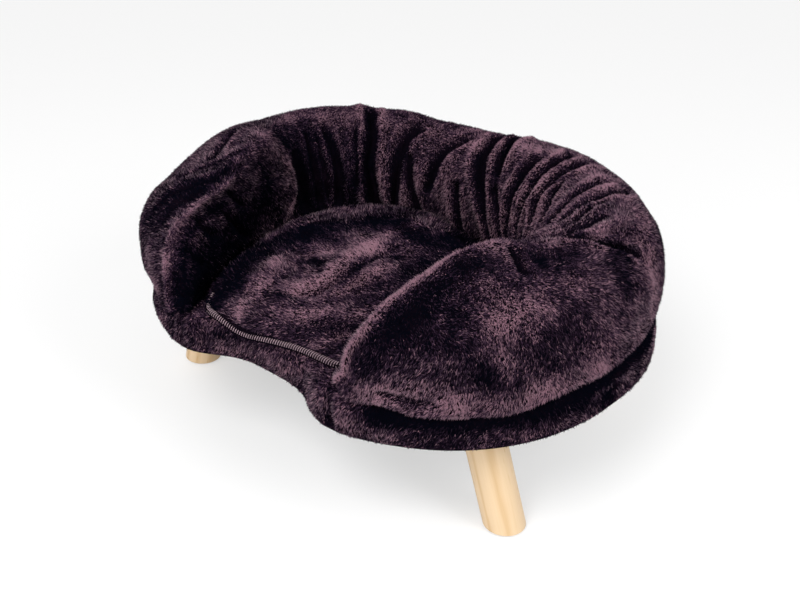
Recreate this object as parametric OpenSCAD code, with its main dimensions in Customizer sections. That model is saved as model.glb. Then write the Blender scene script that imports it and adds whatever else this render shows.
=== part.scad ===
// Cat sofa bed: an upholstered bean-shaped deck on four splayed round legs, a stuffed U-shaped
// bolster round its back and sides, and a loose mat in the seat.
// The origin is on the floor under the middle of the bed. +X is to the right as seen from the
// front, +Y is to the back, and +Z is up.

/* [Overall] */
// Width over the bolster
bed_w = 500; // [440:5:560]
// Depth from the front lobes to the back of the bolster
bed_d = 400; // [360:5:450]
// Height from the floor to the crest of the bolster
bed_h = 240; // [215:5:290]

/* [Deck] */
// Height of the deck's underside above the floor
deck_clear = 103; // [85:1:120]
// Thickness of the dust cover under the deck
dust_t = 1; // [0.6:0.1:2]
// Thickness of the cover's margin where it is stapled under the board
under_t = 1.5; // [1:0.1:3]
// Thickness of the deck board
board_t = 9; // [8.5:0.5:12]
// Thickness of the deck foam
foam_t = 22; // [18:1:30]
// Thickness of the deck's plush cover with its pile
plush_t = 4; // [3:0.5:5]
// Rounding of the deck's top edge
rim_r = 12; // [10:0.5:13]
// Rounding of the deck's lower edge
rim_under_r = 8; // [6:0.5:10]
// Width of the cover's margin that is turned under the board
margin_w = 32; // [28:1:45]
// Depth of the scoop in the deck's front edge
scoop_d = 34; // [20:1:45]
// Half width of the scoop in the deck's front edge
scoop_w = 66; // [55:1:80]

/* [Bolster] */
// How far the bolster bulges past the deck's edge
bolster_out = 3; // [0:0.5:8]
// Distance from the deck's edge to the bolster's outer foot
bolster_inset = 10; // [10:0.5:16]
// Width of the seat between the feet of the bolster's arms
seat_w = 272; // [250:2:290]
// Distance from the middle of the bed to the foot of the bolster's back
seat_back = 80; // [60:1:90]
// Distance in front of the middle at which the seat is widest
arm_start = 40; // [25:1:50]
// Length of the arms from there to their tips
arm_len = 140; // [125:1:145]
// How far the arms draw in towards their tips
tip_turn = 46; // [30:1:60]
// Height of the bolster at the tips of its arms
tip_h = 18; // [14:1:26]
// How much lower the bolster is round the back than on the arms
back_drop = 9; // [0:1:16]
// Thickness of a bolster panel with its pile
panel_t = 7; // [5:0.5:8]
// Depth of the gathers in the inner panel
gather_d = 4.6; // [0:0.1:4.8]
// Number of gathers in the inner panel
gathers = 20; // [10:2:24]
// Thickness of the panel that closes the bolster's underside
base_t = 2; // [1:0.5:4]

/* [Mat] */
// Gap between the mat and the foot of the bolster
mat_gap = 13; // [11.5:0.5:20]
// Gap between the mat and the foot of the bolster's tips
mat_tip_gap = 9; // [7:0.5:14]
// Distance from the scoop back to the mat's front edge, which lies on the rounded rim
mat_back_off = 0; // [-4:0.5:10]
// How far the mat's front corners stand in front of the middle of its front edge
mat_corner = 8; // [0:1:12]
// Thickness of the mat's plush at its edge
mat_edge_t = 5; // [3:0.5:7]
// Thickness of the mat's plush inside its edge
mat_t = 10; // [8:0.5:14]
// Height of the mat's crown above its plush near the edge
mat_crown = 4; // [0:0.5:8]
// Thickness of the mat's backing
backing_t = 1.5; // [1:0.1:3]
// Distance from the mat's edge to the edge of its backing
backing_in = 18; // [12:1:30]
// Thickness of the overlocked edge
overlock_t = 3; // [2:0.5:4]

/* [Legs] */
// Diameter of a leg
leg_d = 36; // [30:1:42]
// How far a leg's foot stands out sideways from its top
leg_splay = 32; // [0:1:40]
// Distance from the bed's side to the top of a front leg
front_leg_in = 86; // [80:1:110]
// Distance from the bed's front to the front legs
front_leg_back = 104; // [90:1:120]
// Distance from the bed's side to the top of a rear leg
rear_leg_in = 144; // [120:1:160]
// Distance from the bed's back to the rear legs
rear_leg_front = 90; // [80:1:110]
// Thickness of a foot pad
pad_t = 2; // [1:0.5:4]
// Diameter of a foot pad
pad_d = 31; // [24:1:34]

/* [Fasteners] */
// Diameter of the hanger bolts
bolt_d = 8; // [6:1:8]
// Depth of a hanger bolt in its leg
bolt_in_leg = 28; // [20:1:34]
// Outer diameter of a tee nut's barrel
barrel_d = 10; // [9.5:0.5:12]
// Diameter of a tee nut's flange
flange_d = 22; // [18:1:26]
// Thickness of a tee nut's flange
flange_t = 1.5; // [1:0.1:2]
// Number of staples round the underside
staples_n = 28; // [12:2:40]
// Length of a staple's crown
crown_w = 10; // [8:1:14]
// Thickness of the staple wire
wire_t = 0.7; // [0.5:0.1:1]
// Depth of a staple's legs in the board
staple_in = 5; // [3:0.5:7]

/* [Hidden] */

$fn = 48;

// Clearances and the overrun of every cut
soft_gap = 0.3;
layer_gap = 0.1;
rest_gap = 0.2;
thread_gap = 0.05;
leg_gap = 0.3;
seam_gap = 0.6;
overrun = 5;

// Heights of the deck's layers
cover_z = deck_clear + dust_t;
board_z = cover_z + under_t;
foam_z = board_z + board_t;
deck_top = foam_z + foam_t + plush_t;

// Outline of the deck: two half superellipses with a scoop in the front one
back_power = 2;
front_power = 2.38;
scoop_power = 3.4;
deck_half = bed_w / 2 - bolster_out;
back_semi = bed_d / 2 - bolster_out;
outline_n = 50;
crowding_angle = 20;
probe_angle = 0.5;

// The front half axis is the one that brings the lobes beside the scoop to the bed's front
lobe_search_share = 0.8;
lobe_steps = 80;
function scoop(x) = scoop_d * exp(-pow(abs(x) / scoop_w, scoop_power));
function arch_share(share) = pow(1 - pow(share, front_power), 1 / front_power);
front_semi = min([
    for (i = [0 : lobe_steps])
        let (share = lobe_search_share * i / lobe_steps)
        (bed_d / 2 + scoop(share * deck_half)) / arch_share(share)
]);

// Distance from the middle to a superellipse, at an angle from +Y
function oval_r(a, half, semi, power) =
    pow(pow(abs(sin(a)) / half, power) + pow(abs(cos(a)) / semi, power), -1 / power);

// A point of the deck's outline, and the same point moved inwards
function bean(a) =
    let (
        front = cos(a) < 0,
        r = oval_r(a, deck_half, front ? front_semi : back_semi, front ? front_power : back_power)
    )
    [r * sin(a), r * cos(a) + (front ? scoop(r * sin(a)) : 0)];
function bean_tangent(a) =
    let (d = bean(a + probe_angle) - bean(a - probe_angle))
    d / norm(d);
function bean_in(a, inset) =
    let (t = bean_tangent(a))
    bean(a) + inset * [t.y, -t.x];

// An oval inside the deck's outline, with the scoop or clear of it
function inner_oval(a, inset, scooped) =
    let (
        front = cos(a) < 0,
        semi = front ? front_semi - inset - (scooped ? 0 : scoop_d) : back_semi - inset,
        r = oval_r(a, deck_half - inset, semi, front ? front_power : back_power)
    )
    [r * sin(a), r * cos(a) + (front && scooped ? scoop(r * sin(a)) : 0)];

// Angles round the outline, closer together at the front
function outline_angle(i, n) = 360 * i / n + crowding_angle * sin(360 * i / n);

function raised(p, z) = [p.x, p.y, z];
function bean_ring(inset, z) =
    [for (i = [0 : outline_n - 1]) raised(bean_in(outline_angle(i, outline_n), inset), z)];
function oval_ring(inset, z) =
    [for (i = [0 : outline_n - 1]) raised(inner_oval(outline_angle(i, outline_n), inset, true), z)];
core_share = 0.45;
function core_ring(z) =
    [for (i = [0 : outline_n - 1])
        raised(core_share * inner_oval(outline_angle(i, outline_n), 0, false), z)];

// A closed skin through loops with equal numbers of points. cap lists one end's triangles.
module loft(loops, cap) {
    n = len(loops[0]);
    last = (len(loops) - 1) * n;
    sides = [
        for (j = [0 : len(loops) - 2], i = [0 : n - 1])
            let (a = j * n + i, b = j * n + (i + 1) % n)
            each [[a, b, b + n], [a, b + n, a + n]]
    ];
    near = [for (f = cap) [f[2], f[1], f[0]]];
    far = [for (f = cap) [f[0] + last, f[1] + last, f[2] + last]];
    polyhedron(points = [for (loop = loops) each loop], faces = concat(sides, near, far));
}
function fan_cap(n) = [for (i = [1 : n - 2]) [0, i, i + 1]];
function strip_cap(rows) = [
    for (i = [0 : rows - 2])
        let (back = 2 * rows - 1 - i)
        each [[i, i + 1, back - 1], [i, back - 1, back]]
];

// Rounded edges of the deck, as rings from the middle of the top to the underside
top_steps = 4;
under_steps = 2;
inner_steps = 2;
function top_edge(r, steps, wall) = [
    for (i = [0 : steps])
        let (turn = 90 * i / steps)
        bean_ring(rim_r - (r - wall) * sin(turn), deck_top - r + (r - wall) * cos(turn))
];
function under_edge(wall, floor_t) = [
    for (i = [0 : under_steps])
        let (turn = 90 * i / under_steps)
        bean_ring(
            rim_under_r - (rim_under_r - wall) * cos(turn),
            cover_z + rim_under_r - (rim_under_r - floor_t) * sin(turn)
        )
];
function reversed(list) = [for (i = [len(list) - 1 : -1 : 0]) list[i]];

module deck_cover() {
    window = rim_under_r + margin_w;
    outer = concat(
        [core_ring(deck_top)],
        top_edge(rim_r, top_steps, 0),
        under_edge(0, 0),
        [oval_ring(window, cover_z)]
    );
    inner = concat(
        [core_ring(deck_top - plush_t)],
        top_edge(rim_r, inner_steps, plush_t),
        under_edge(plush_t, under_t),
        [oval_ring(window, board_z)]
    );
    color([0.25, 0.18, 0.21])
        loft(concat(inner, reversed(outer)), fan_cap(outline_n));
}

module deck_foam() {
    wall = plush_t + soft_gap;
    color([0.93, 0.9, 0.78])
        loft(
            concat(
                [core_ring(foam_z), bean_ring(wall, foam_z)],
                reversed(top_edge(rim_r, inner_steps, wall)),
                [core_ring(deck_top - wall)]
            ),
            fan_cap(outline_n)
        );
}

// Places of the four legs: name, side, top sideways, place forwards or backwards
LEG_PLACES = [
    ["front_left", -1, bed_w / 2 - front_leg_in, front_leg_back - bed_d / 2],
    ["front_right", 1, bed_w / 2 - front_leg_in, front_leg_back - bed_d / 2],
    ["rear_left", -1, bed_w / 2 - rear_leg_in, bed_d / 2 - rear_leg_front],
    ["rear_right", 1, bed_w / 2 - rear_leg_in, bed_d / 2 - rear_leg_front],
];
module at_leg_tops() {
    for (leg = LEG_PLACES)
        translate([leg[1] * leg[2], leg[3], 0])
            children();
}

board_in = rim_under_r + soft_gap;
barrel_z = board_z + wire_t;
module board_outline() {
    polygon([for (i = [0 : outline_n - 1]) bean_in(outline_angle(i, outline_n), board_in)]);
}
module deck_board() {
    color([0.82, 0.7, 0.52])
        difference() {
            translate([0, 0, board_z])
                linear_extrude(board_t)
                    board_outline();
            at_leg_tops() {
                translate([0, 0, board_z - overrun])
                    cylinder(d = barrel_d + 2 * thread_gap, h = board_t + 2 * overrun);
                translate([0, 0, foam_z - flange_t])
                    cylinder(d = flange_d + 2 * thread_gap, h = flange_t + overrun);
            }
        }
}

prong_w = 3;
prong_t = 1;
prong_h = 4;
module tee_nut() {
    difference() {
        union() {
            translate([0, 0, barrel_z])
                cylinder(d = barrel_d, h = foam_z - barrel_z);
            translate([0, 0, foam_z - flange_t])
                cylinder(d = flange_d, h = flange_t);
            for (turn = [0 : 90 : 270])
                rotate([0, 0, turn])
                    translate([flange_d / 2 - 2 * prong_t, -prong_w / 2, foam_z - flange_t - prong_h])
                        cube([prong_t, prong_w, prong_h + flange_t / 2]);
        }
        translate([0, 0, board_z])
            cylinder(d = bolt_d + 2 * thread_gap, h = board_t + overrun);
    }
}
module tee_nuts() {
    color([0.72, 0.73, 0.75])
        at_leg_tops()
            tee_nut();
}

// The dust cover is stapled through the cover's margin into the board
dust_in = rim_under_r + margin_w / 3;
staple_line = rim_under_r + margin_w / 2;
hole_gap = 1.5;
module dust_cover() {
    color([0.16, 0.16, 0.17])
        difference() {
            translate([0, 0, deck_clear])
                linear_extrude(dust_t)
                    polygon([
                        for (i = [0 : outline_n - 1])
                            bean_in(outline_angle(i, outline_n), dust_in)
                    ]);
            at_leg_tops()
                translate([0, 0, deck_clear - overrun])
                    cylinder(d = bolt_d + 2 * hole_gap, h = dust_t + 2 * overrun);
        }
}
module staple() {
    translate([-crown_w / 2, -wire_t / 2, deck_clear - wire_t]) {
        cube([crown_w, wire_t, wire_t]);
        for (x = [0, crown_w - wire_t])
            translate([x, 0, 0])
                cube([wire_t, wire_t, wire_t + dust_t + under_t + staple_in]);
    }
}
module cover_staples() {
    color([0.75, 0.76, 0.78])
        for (i = [0 : staples_n - 1]) {
            a = 360 * (i + 0.5) / staples_n;
            p = bean_in(a, staple_line);
            t = bean_tangent(a);
            translate([p.x, p.y, 0])
                rotate([0, 0, atan2(t.y, t.x)])
                    staple();
        }
}

// The bolster is followed by an angle from +Y, the same on its outer and its inner foot.
// Stations stand closer together over the gathered stretch than along the plain arms.
tip_angle = 151;
gather_angle = 105;
side_angle = 97;
arm_stations = 9;
gather_stations = 3 * gathers;
stations = gather_stations + 2 * arm_stations;
arch_power = 2.3;
tip_power = 1.7;
function station_angle(i) =
    i < arm_stations
        ? -tip_angle + i * (tip_angle - gather_angle) / arm_stations
        : i > stations - arm_stations
            ? tip_angle - (stations - i) * (tip_angle - gather_angle) / arm_stations
            : -gather_angle + (i - arm_stations) * 2 * gather_angle / gather_stations;

function outer_foot(a) = bean_in(a, bolster_inset);
function inner_foot(a) =
    let (
        along = (abs(a) - side_angle) / (tip_angle - side_angle),
        turn = 90 * min(abs(a) / side_angle, 1),
        r = oval_r(turn, seat_w / 2, seat_back + arm_start, arch_power),
        x = along > 0 ? seat_w / 2 - tip_turn * pow(along, tip_power) : r * sin(turn),
        y = along > 0 ? -arm_start - arm_len * along : r * cos(turn) - arm_start
    )
    [sign(a) * x, y];

// Height of the bolster: a little lower round the back, and falling in a round nose at the
// tips of the arms
bolster_h = bed_h - deck_top - rest_gap;
drop_start_angle = 50;
drop_end_angle = 100;
nose_power = 2;
nose_root = 2.2;
function smooth(t) = let (s = min(max(t, 0), 1)) s * s * (3 - 2 * s);
function station_h(a) =
    let (
        left = min(max((tip_angle - abs(a)) / (tip_angle - side_angle), 0), 1),
        rise = smooth((abs(a) - drop_start_angle) / (drop_end_angle - drop_start_angle)),
        full = bolster_h - back_drop * (1 - rise)
    )
    tip_h + (full - tip_h) * pow(1 - pow(1 - left, nose_power), 1 / nose_root);

// Sections as shares of the station's width and height, and of the outward bulge. The first
// seven rows run up the inner panel to the seam, and the last six down the outer panel.
back_shares = [
    [0, 0, 0], [-0.02, 0.24, 0], [0, 0.5, 0], [0.1, 0.76, 0], [0.3, 0.94, 0], [0.54, 1, 0],
    [0.78, 0.93, 0.1], [0.89, 0.83, 0.4], [0.96, 0.66, 0.7], [1, 0.45, 0.9], [1, 0.18, 1], [1, 0, 0],
];
arm_shares = [
    [0, 0, 0], [-0.035, 0.2, 0], [-0.06, 0.42, 0], [-0.06, 0.62, 0], [-0.03, 0.8, 0],
    [0.01, 0.92, 0], [0.08, 1, 0], [0.36, 0.98, 0], [0.66, 0.88, 0.2], [0.9, 0.64, 0.7],
    [1, 0.11, 1], [1, 0, 0],
];
nose_shares = [
    [0, 0, 0], [0, 0.3, 0], [0.02, 0.5, 0], [0.08, 0.7, 0], [0.2, 0.88, 0],
    [0.34, 0.97, 0], [0.5, 1, 0], [0.66, 0.96, 0.1], [0.82, 0.84, 0.4], [0.95, 0.58, 0.8],
    [1, 0.12, 1], [1, 0, 0],
];
gather_shares = [0.15, 0.9, 1, 1, 0.8, 0.4, 0];
SEAM = 6;
ROWS = len(back_shares);
blend_start_angle = 70;
blend_end_angle = 100;
nose_start_angle = 115;
function row_share(a, row) =
    let (
        w = smooth((abs(a) - blend_start_angle) / (blend_end_angle - blend_start_angle)),
        v = smooth((abs(a) - nose_start_angle) / (tip_angle - nose_start_angle))
    )
    (1 - w) * back_shares[row] + w * (1 - v) * arm_shares[row] + w * v * nose_shares[row];
function section(a) =
    let (
        width = norm(outer_foot(a) - inner_foot(a)),
        h = station_h(a),
        bulge = bolster_inset + bolster_out
    )
    [for (row = [0 : ROWS - 1])
        let (s = row_share(a, row))
        [width * s[0] + bulge * s[2], h * s[1]]];

// A section's points moved inwards by a thickness, with mitred corners
max_mitre = 1.45;
function unit(v) = v / norm(v);
function inward(points, row) =
    row == 0 ? [1, 0]
    : row == ROWS - 1 ? [-1, 0]
    : let (
        before = unit(points[row] - points[row - 1]),
        after = unit(points[row + 1] - points[row]),
        along = unit(before + after),
        mitre = 1 / max(before * along, 1 / max_mitre)
    )
    mitre * [along.y, -along.x];
function seam_shift(points, row, side) =
    row == SEAM ? side * seam_gap / 2 * unit(points[SEAM + 1] - points[SEAM - 1]) : [0, 0];

// Places a section's point at its station
function placed(a, p) =
    let (
        foot = inner_foot(a),
        out = unit(outer_foot(a) - foot)
    )
    [foot.x + p[0] * out.x, foot.y + p[0] * out.y, deck_top + rest_gap + p[1]];

// Every third station of the gathered stretch is a crease
function crease(i, row) =
    let (k = i - arm_stations)
    k <= 0 || k >= gather_stations || k % 3 != 0 ? 0
        : gather_d * (row <= SEAM ? gather_shares[row] : 0);

// One station of a panel, from row first to row last: its skin, then its inside reversed.
// The panels thin out in the narrow tips.
wall_share = 0.27;
function panel_wall(a) = min(panel_t, wall_share * norm(outer_foot(a) - inner_foot(a)));
function panel_loop(i, first, last, side) =
    let (
        a = station_angle(i),
        wall = panel_wall(a),
        points = section(a),
        skin = [for (row = [first : last])
            points[row] + crease(i, row) * inward(points, row)
                + seam_shift(points, row, side)],
        inside = [for (row = [last : -1 : first])
            points[row] + wall * inward(points, row) + seam_shift(points, row, side)]
    )
    [for (p = concat(skin, inside)) placed(a, p)];

module bolster_inner_panel() {
    color([0.29, 0.21, 0.25])
        loft([for (i = [0 : stations]) panel_loop(i, 0, SEAM, -1)], strip_cap(SEAM + 1));
}
module bolster_outer_panel() {
    color([0.25, 0.18, 0.21])
        loft(
            [for (i = [0 : stations]) panel_loop(i, SEAM, ROWS - 1, 1)],
            strip_cap(ROWS - SEAM)
        );
}

// The filling and the base panel stop short of the thin tips
fill_angle = 141;
fill_stations = 44;
fill_gap = 2;
function fill_loop(i) =
    let (
        a = fill_angle * (2 * i / fill_stations - 1),
        points = section(a),
        depth = panel_t + fill_gap,
        body = [for (row = [1 : ROWS - 2]) points[row] + depth * inward(points, row)],
        floor_z = base_t + rest_gap,
        feet = [[depth, floor_z], [points[ROWS - 1][0] - depth, floor_z]]
    )
    [for (p = concat([feet[0]], body, [feet[1]])) placed(a, p)];
module bolster_filling() {
    color([0.95, 0.95, 0.93])
        loft([for (i = [0 : fill_stations]) fill_loop(i)], fan_cap(ROWS));
}

base_angle = 145;
base_stations = 48;
module bolster_base_panel() {
    depth = panel_t + fill_gap;
    angles = [for (i = [0 : base_stations]) base_angle * (2 * i / base_stations - 1)];
    inner = [
        for (a = angles)
            let (foot = inner_foot(a))
            foot + depth * unit(outer_foot(a) - foot)
    ];
    outer = [
        for (a = reversed(angles))
            let (foot = outer_foot(a))
            foot + depth * unit(inner_foot(a) - foot)
    ];
    color([0.2, 0.15, 0.18])
        translate([0, 0, deck_top + rest_gap])
            linear_extrude(base_t)
                polygon(concat(inner, outer));
}

// Outline of the loose mat: it follows the bolster's foot, and its front edge lies on the
// rim of the scoop
arch_n = 40;
front_n = 8;
mat_n = arch_n + front_n;
mat_end_angle = 149;
mat_mid = [0, -arm_start];
function mat_side(a, inset) =
    let (
        foot = inner_foot(a),
        near = smooth((abs(a) - nose_start_angle) / (tip_angle - nose_start_angle)),
        gap = mat_gap + near * (mat_tip_gap - mat_gap)
    )
    foot - (gap + inset) * unit(outer_foot(a) - foot);
function mat_front(share, inset) =
    let (corner = mat_side(mat_end_angle, inset))
    [
        share * corner.x,
        mat_back_off + inset - front_semi + scoop_d - mat_corner * smooth(abs(share))
    ];
function mat_point(i, inset) =
    i <= arch_n
        ? mat_side(mat_end_angle * (2 * i / arch_n - 1), inset)
        : mat_front(1 - 2 * (i - arch_n) / front_n, inset);

// How far the mat has dropped where it leaves the flat of the deck
drape_r = 2 * rim_r;
drape_reach_share = 0.93;
function front_edge(x) =
    scoop(x) - front_semi * arch_share(min(abs(x) / deck_half, lobe_search_share));
function drape(p) =
    let (past = min(max(front_edge(p.x) + rim_r - p.y, 0), drape_reach_share * drape_r))
    drape_r - sqrt(drape_r * drape_r - past * past);

// Rings of the mat's plush, from the middle of the top over the edge to the underside
mat_z = deck_top + rest_gap + backing_t + layer_gap;
mat_ring_shares = [0.3, 0.6, 0.84, 0.92, 1];
mat_rise_shares = [1, 0.7, 0.25, 0, 0];
function mat_ring(share, z) = [
    for (i = [0 : mat_n - 1])
        let (
            edge = mat_point(i, 0),
            p = mat_mid + share * (edge - mat_mid)
        )
        raised(p, z - drape(p))
];
module mat_plush() {
    top = [
        for (k = [0 : len(mat_ring_shares) - 1])
            let (full = mat_ring_shares[k] < 1 ? mat_t : mat_edge_t)
            mat_ring(mat_ring_shares[k], mat_z + full + mat_crown * mat_rise_shares[k])
    ];
    under = [for (share = mat_ring_shares) mat_ring(share, mat_z)];
    color([0.3, 0.22, 0.26])
        loft(concat(under, reversed(top)), fan_cap(mat_n));
}
module mat_backing() {
    color([0.13, 0.12, 0.13])
        translate([0, 0, deck_top + rest_gap])
            linear_extrude(backing_t)
                polygon([
                    for (i = [0 : mat_n - 1])
                        mat_point(i, backing_in)
                ]);
}

// The overlocked edge is a band of thread just outside the mat's edge
band_sides = 6;
function band_loop(k) =
    let (turn = 360 * k / band_sides)
    [
        for (i = [0 : mat_n - 1])
            let (
                edge = mat_point(i, 0),
                out = mat_point(i, -(overlock_t / 2) * (1 - cos(turn)) - soft_gap)
            )
            raised(out, mat_z + mat_edge_t / 2 - drape(edge) + overlock_t / 2 * sin(turn))
    ];
module mat_overlock() {
    loops = [for (k = [0 : band_sides - 1]) band_loop(k)];
    n = mat_n;
    faces = [
        for (k = [0 : band_sides - 1], i = [0 : n - 1])
            let (
                a = k * n + i,
                b = k * n + (i + 1) % n,
                c = ((k + 1) % band_sides) * n + i,
                d = ((k + 1) % band_sides) * n + (i + 1) % n
            )
            each [[a, d, b], [a, c, d]]
    ];
    color([0.45, 0.36, 0.42])
        polyhedron(points = [for (loop = loops) each loop], faces = faces);
}

// Legs: round bars that lean sideways, cut level at the top and at the foot
leg_top = deck_clear - leg_gap;
leg_rise = leg_top - pad_t;
leg_lean = atan(leg_splay / leg_rise);
leg_bar = 2 * (leg_rise + leg_d);
module leg(place) {
    side = place[1];
    color([0.88, 0.74, 0.54])
        difference() {
            intersection() {
                translate([side * place[2], place[3], leg_top])
                    rotate([0, -side * leg_lean, 0])
                        translate([0, 0, -leg_bar / 2])
                            cylinder(d = leg_d, h = leg_bar);
                translate([side * (place[2] + leg_splay / 2) - bed_w / 4, place[3] - leg_d, pad_t])
                    cube([bed_w / 2, 2 * leg_d, leg_rise]);
            }
            translate([side * place[2], place[3], leg_top - bolt_in_leg - thread_gap])
                cylinder(d = bolt_d + 2 * thread_gap, h = bolt_in_leg + overrun);
        }
}
bolt_tip_gap = 1;
bolt_end = foam_z - flange_t - bolt_tip_gap;
module hanger_bolt(place) {
    color([0.7, 0.71, 0.73])
        translate([place[1] * place[2], place[3], leg_top - bolt_in_leg])
            cylinder(d = bolt_d, h = bolt_in_leg + bolt_end - leg_top);
}
module foot_pad(place) {
    color([0.2, 0.18, 0.17])
        translate([place[1] * (place[2] + leg_splay), place[3], 0])
            cylinder(d = pad_d, h = pad_t);
}

deck_board();
deck_foam();
deck_cover();
dust_cover();
cover_staples();
tee_nuts();
bolster_outer_panel();
bolster_inner_panel();
bolster_base_panel();
bolster_filling();
mat_plush();
mat_backing();
mat_overlock();
leg(LEG_PLACES[0]);  // leg_front_left
leg(LEG_PLACES[1]);  // leg_front_right
leg(LEG_PLACES[2]);  // leg_rear_left
leg(LEG_PLACES[3]);  // leg_rear_right
hanger_bolt(LEG_PLACES[0]);  // hanger_bolt_front_left
hanger_bolt(LEG_PLACES[1]);  // hanger_bolt_front_right
hanger_bolt(LEG_PLACES[2]);  // hanger_bolt_rear_left
hanger_bolt(LEG_PLACES[3]);  // hanger_bolt_rear_right
foot_pad(LEG_PLACES[0]);  // foot_pad_front_left
foot_pad(LEG_PLACES[1]);  // foot_pad_front_right
foot_pad(LEG_PLACES[2]);  // foot_pad_rear_left
foot_pad(LEG_PLACES[3]);  // foot_pad_rear_right
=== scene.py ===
"""Looks for the cat sofa bed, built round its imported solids.

Each operator makes one group of pieces. Tables and points are in millimetres and degrees, and
become metres when a mesh is made, in the row frame: +X to the right seen from the front, +Y to
the back, +Z up. Angles round the bed run from its back, positive to the right.
"""

import math

import bmesh
import bpy
import numpy as np
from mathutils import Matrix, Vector
from mathutils.geometry import delaunay_2d_cdt


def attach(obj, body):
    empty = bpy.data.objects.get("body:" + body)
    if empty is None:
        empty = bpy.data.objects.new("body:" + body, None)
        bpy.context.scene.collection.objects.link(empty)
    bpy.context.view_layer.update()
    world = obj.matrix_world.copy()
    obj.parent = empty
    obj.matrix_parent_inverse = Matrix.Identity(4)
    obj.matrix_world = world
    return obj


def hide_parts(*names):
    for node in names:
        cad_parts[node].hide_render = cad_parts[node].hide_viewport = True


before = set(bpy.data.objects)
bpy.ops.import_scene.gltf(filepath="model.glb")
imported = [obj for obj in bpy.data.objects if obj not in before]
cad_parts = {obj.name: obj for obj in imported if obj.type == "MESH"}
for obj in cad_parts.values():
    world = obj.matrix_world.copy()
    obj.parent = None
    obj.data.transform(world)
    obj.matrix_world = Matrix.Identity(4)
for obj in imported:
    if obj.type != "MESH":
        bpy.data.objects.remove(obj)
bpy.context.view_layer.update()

bl_info = {
    "name": "Cat sofa bed looks",
    "version": (1, 0, 0),
    "blender": (4, 5, 0),
    "location": "3D View > Sidebar > Cat sofa bed",
    "description": "Dresses the cat sofa bed: plush covers with pile, loose mat, pine legs",
    "category": "Object",
}

MM = 0.001

# Sizes that the covers share with the solids, in millimetres
DECK_HALF, DECK_BACK, DECK_FRONT = 247.0, 197.0, 210.131
SCOOP_D, SCOOP_W, SCOOP_POWER = 34.0, 66.0, 3.4
FRONT_POWER, BACK_POWER = 2.38, 2.0
SEAT_HALF, ARCH_SEMI, ARCH_POWER = 136.0, 120.0, 2.3
ARM_START, ARM_LEN, TIP_TURN, TIP_POWER = 40.0, 140.0, 46.0, 1.7
SIDE_ANGLE, TIP_ANGLE = 97.0, 151.0
COVER_Z, DECK_TOP = 104.0, 140.5
RIM_R, UNDER_R, MARGIN_W = 12.0, 8.0, 32.0
BOLSTER_IN, BOLSTER_BULGE, REST_GAP = 10.0, 13.0, 0.2
BOLSTER_H, TIP_H, BACK_DROP = 99.3, 18.0, 9.0
MAT_GAP, MAT_TIP_GAP, MAT_END_ANGLE = 13.0, 9.0, 149.0
MAT_Z, MAT_T, MAT_EDGE_T, MAT_CROWN = 142.3, 10.0, 5.0, 4.0
PAD_R, PAD_T = 15.5, 2.0
DUST_IN, DUST_HOLE_R = 18.67, 5.5
LEG_TOPS, LEG_SPLAY, LEG_RISE = [(164.0, -96.0), (106.0, 110.0)], 32.0, 100.7
# Angles where the arm's section takes over from the back's, over how many degrees, and where
# the tip's starts to take over
ARM_FROM, ARM_OVER, TIP_FROM = 70, 30, 115

# Thicknesses: the covers' skins, the fold that the overlock holds, and the plain cloths
BOLSTER_SKIN, DECK_SKIN, EDGE_SKIN = 2.5, 1.4, 0.5
BASE_CLOTH, DUST_CLOTH, BACKING_CLOTH = 1.2, 0.8, 1.3

# The pile: tufts in each part of the bolster, on the deck's rim, under the mat and on the mat
BOLSTER_TUFTS, DECK_TUFTS, SEAT_TUFTS, MAT_TUFTS = 64000, 66000, 60000, 64000
# How long the tufts under the mat are, and how far below the deck's top the pile starts
SEAT_PILE_LENGTH, TOP_BAND = 2.6, 2.5
# The way that the mat's pile lies, seen from above
MAT_NAP_WAY = np.array([-0.55, -0.83])
# Numbers along each side of the noise's table
CLOUD_CELLS = 32
# Lumps of noise that turn and shade the tufts: weight, size and seed
NAP_LUMPS = [(1, 34, 1), (0.6, 12, 2)]
SHADE_LUMPS = [(0.3, 32, 5), (0.3, 14, 6), (0.22, 5, 7), (0.34, 2.6, 8)]
# Degrees that the nap turns by: with its lumps, with fine noise of a size, and at random
NAP_TURN, NAP_FINE, NAP_FINE_SIZE, NAP_RANDOM = 60, 30, 4.5, 16
# Degrees that the tufts rise and fall by, with noise of a size and at random, and the limits
RISE_TURN, RISE_SIZE, RISE_RANDOM, RISE_LIMITS = 16, 22, 11, (14, 82)
# Shares of a tuft's length and width: the least, and what chance adds
LENGTH_SHARES, WIDTH_SHARES = (0.72, 0.5), (0.7, 0.6)
# How deep a tuft is rooted, and the shares of its length that its tip sinks and strays by
ROOT_DEPTH, TIP_SINKS, TIP_STRAYS = 0.8, 0.12, 0.1
# Random part of a tuft's shade, and the shades at which the next lighter tone starts
SHADE_RANDOM, TONE_STEPS = 0.42, (-0.42, 0.04, 0.42, 0.8)

# Creases of the deck cover's rim: depth, width, angle from the back and lean
RIM_CREASES = [
    (7, 4.0, 155, 0.03), (5, 3.5, -155, -0.04), (3, 5.0, -163, 0.02), (3, 5.0, 168, 0.0),
    (2.5, 6.0, 128, 0.05), (3, 6.0, 96, -0.06), (2.5, 6.0, -120, 0.05),
]

# The overlock: distance between loops, thread radius, and how far a loop leans, as a share of
# that distance
STITCH, THREAD_R, LOOP_LEAN = 2.4, 0.42, 0.35
# Path of one loop round the mat's edge: outwards from the edge, and above the backing
LOOP = [
    (-4.6, 3.3), (-3.0, 4.1), (-1.2, 4.2), (0.2, 3.2), (0.9, 1.4), (0.6, -0.1), (-0.6, -0.9), (-3.2, -1.05),
]
# The folded edge in the loops: its share of their reach, and how far it stays below their top
FOLD_SHARE, FOLD_BELOW = 0.9, 0.55

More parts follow.
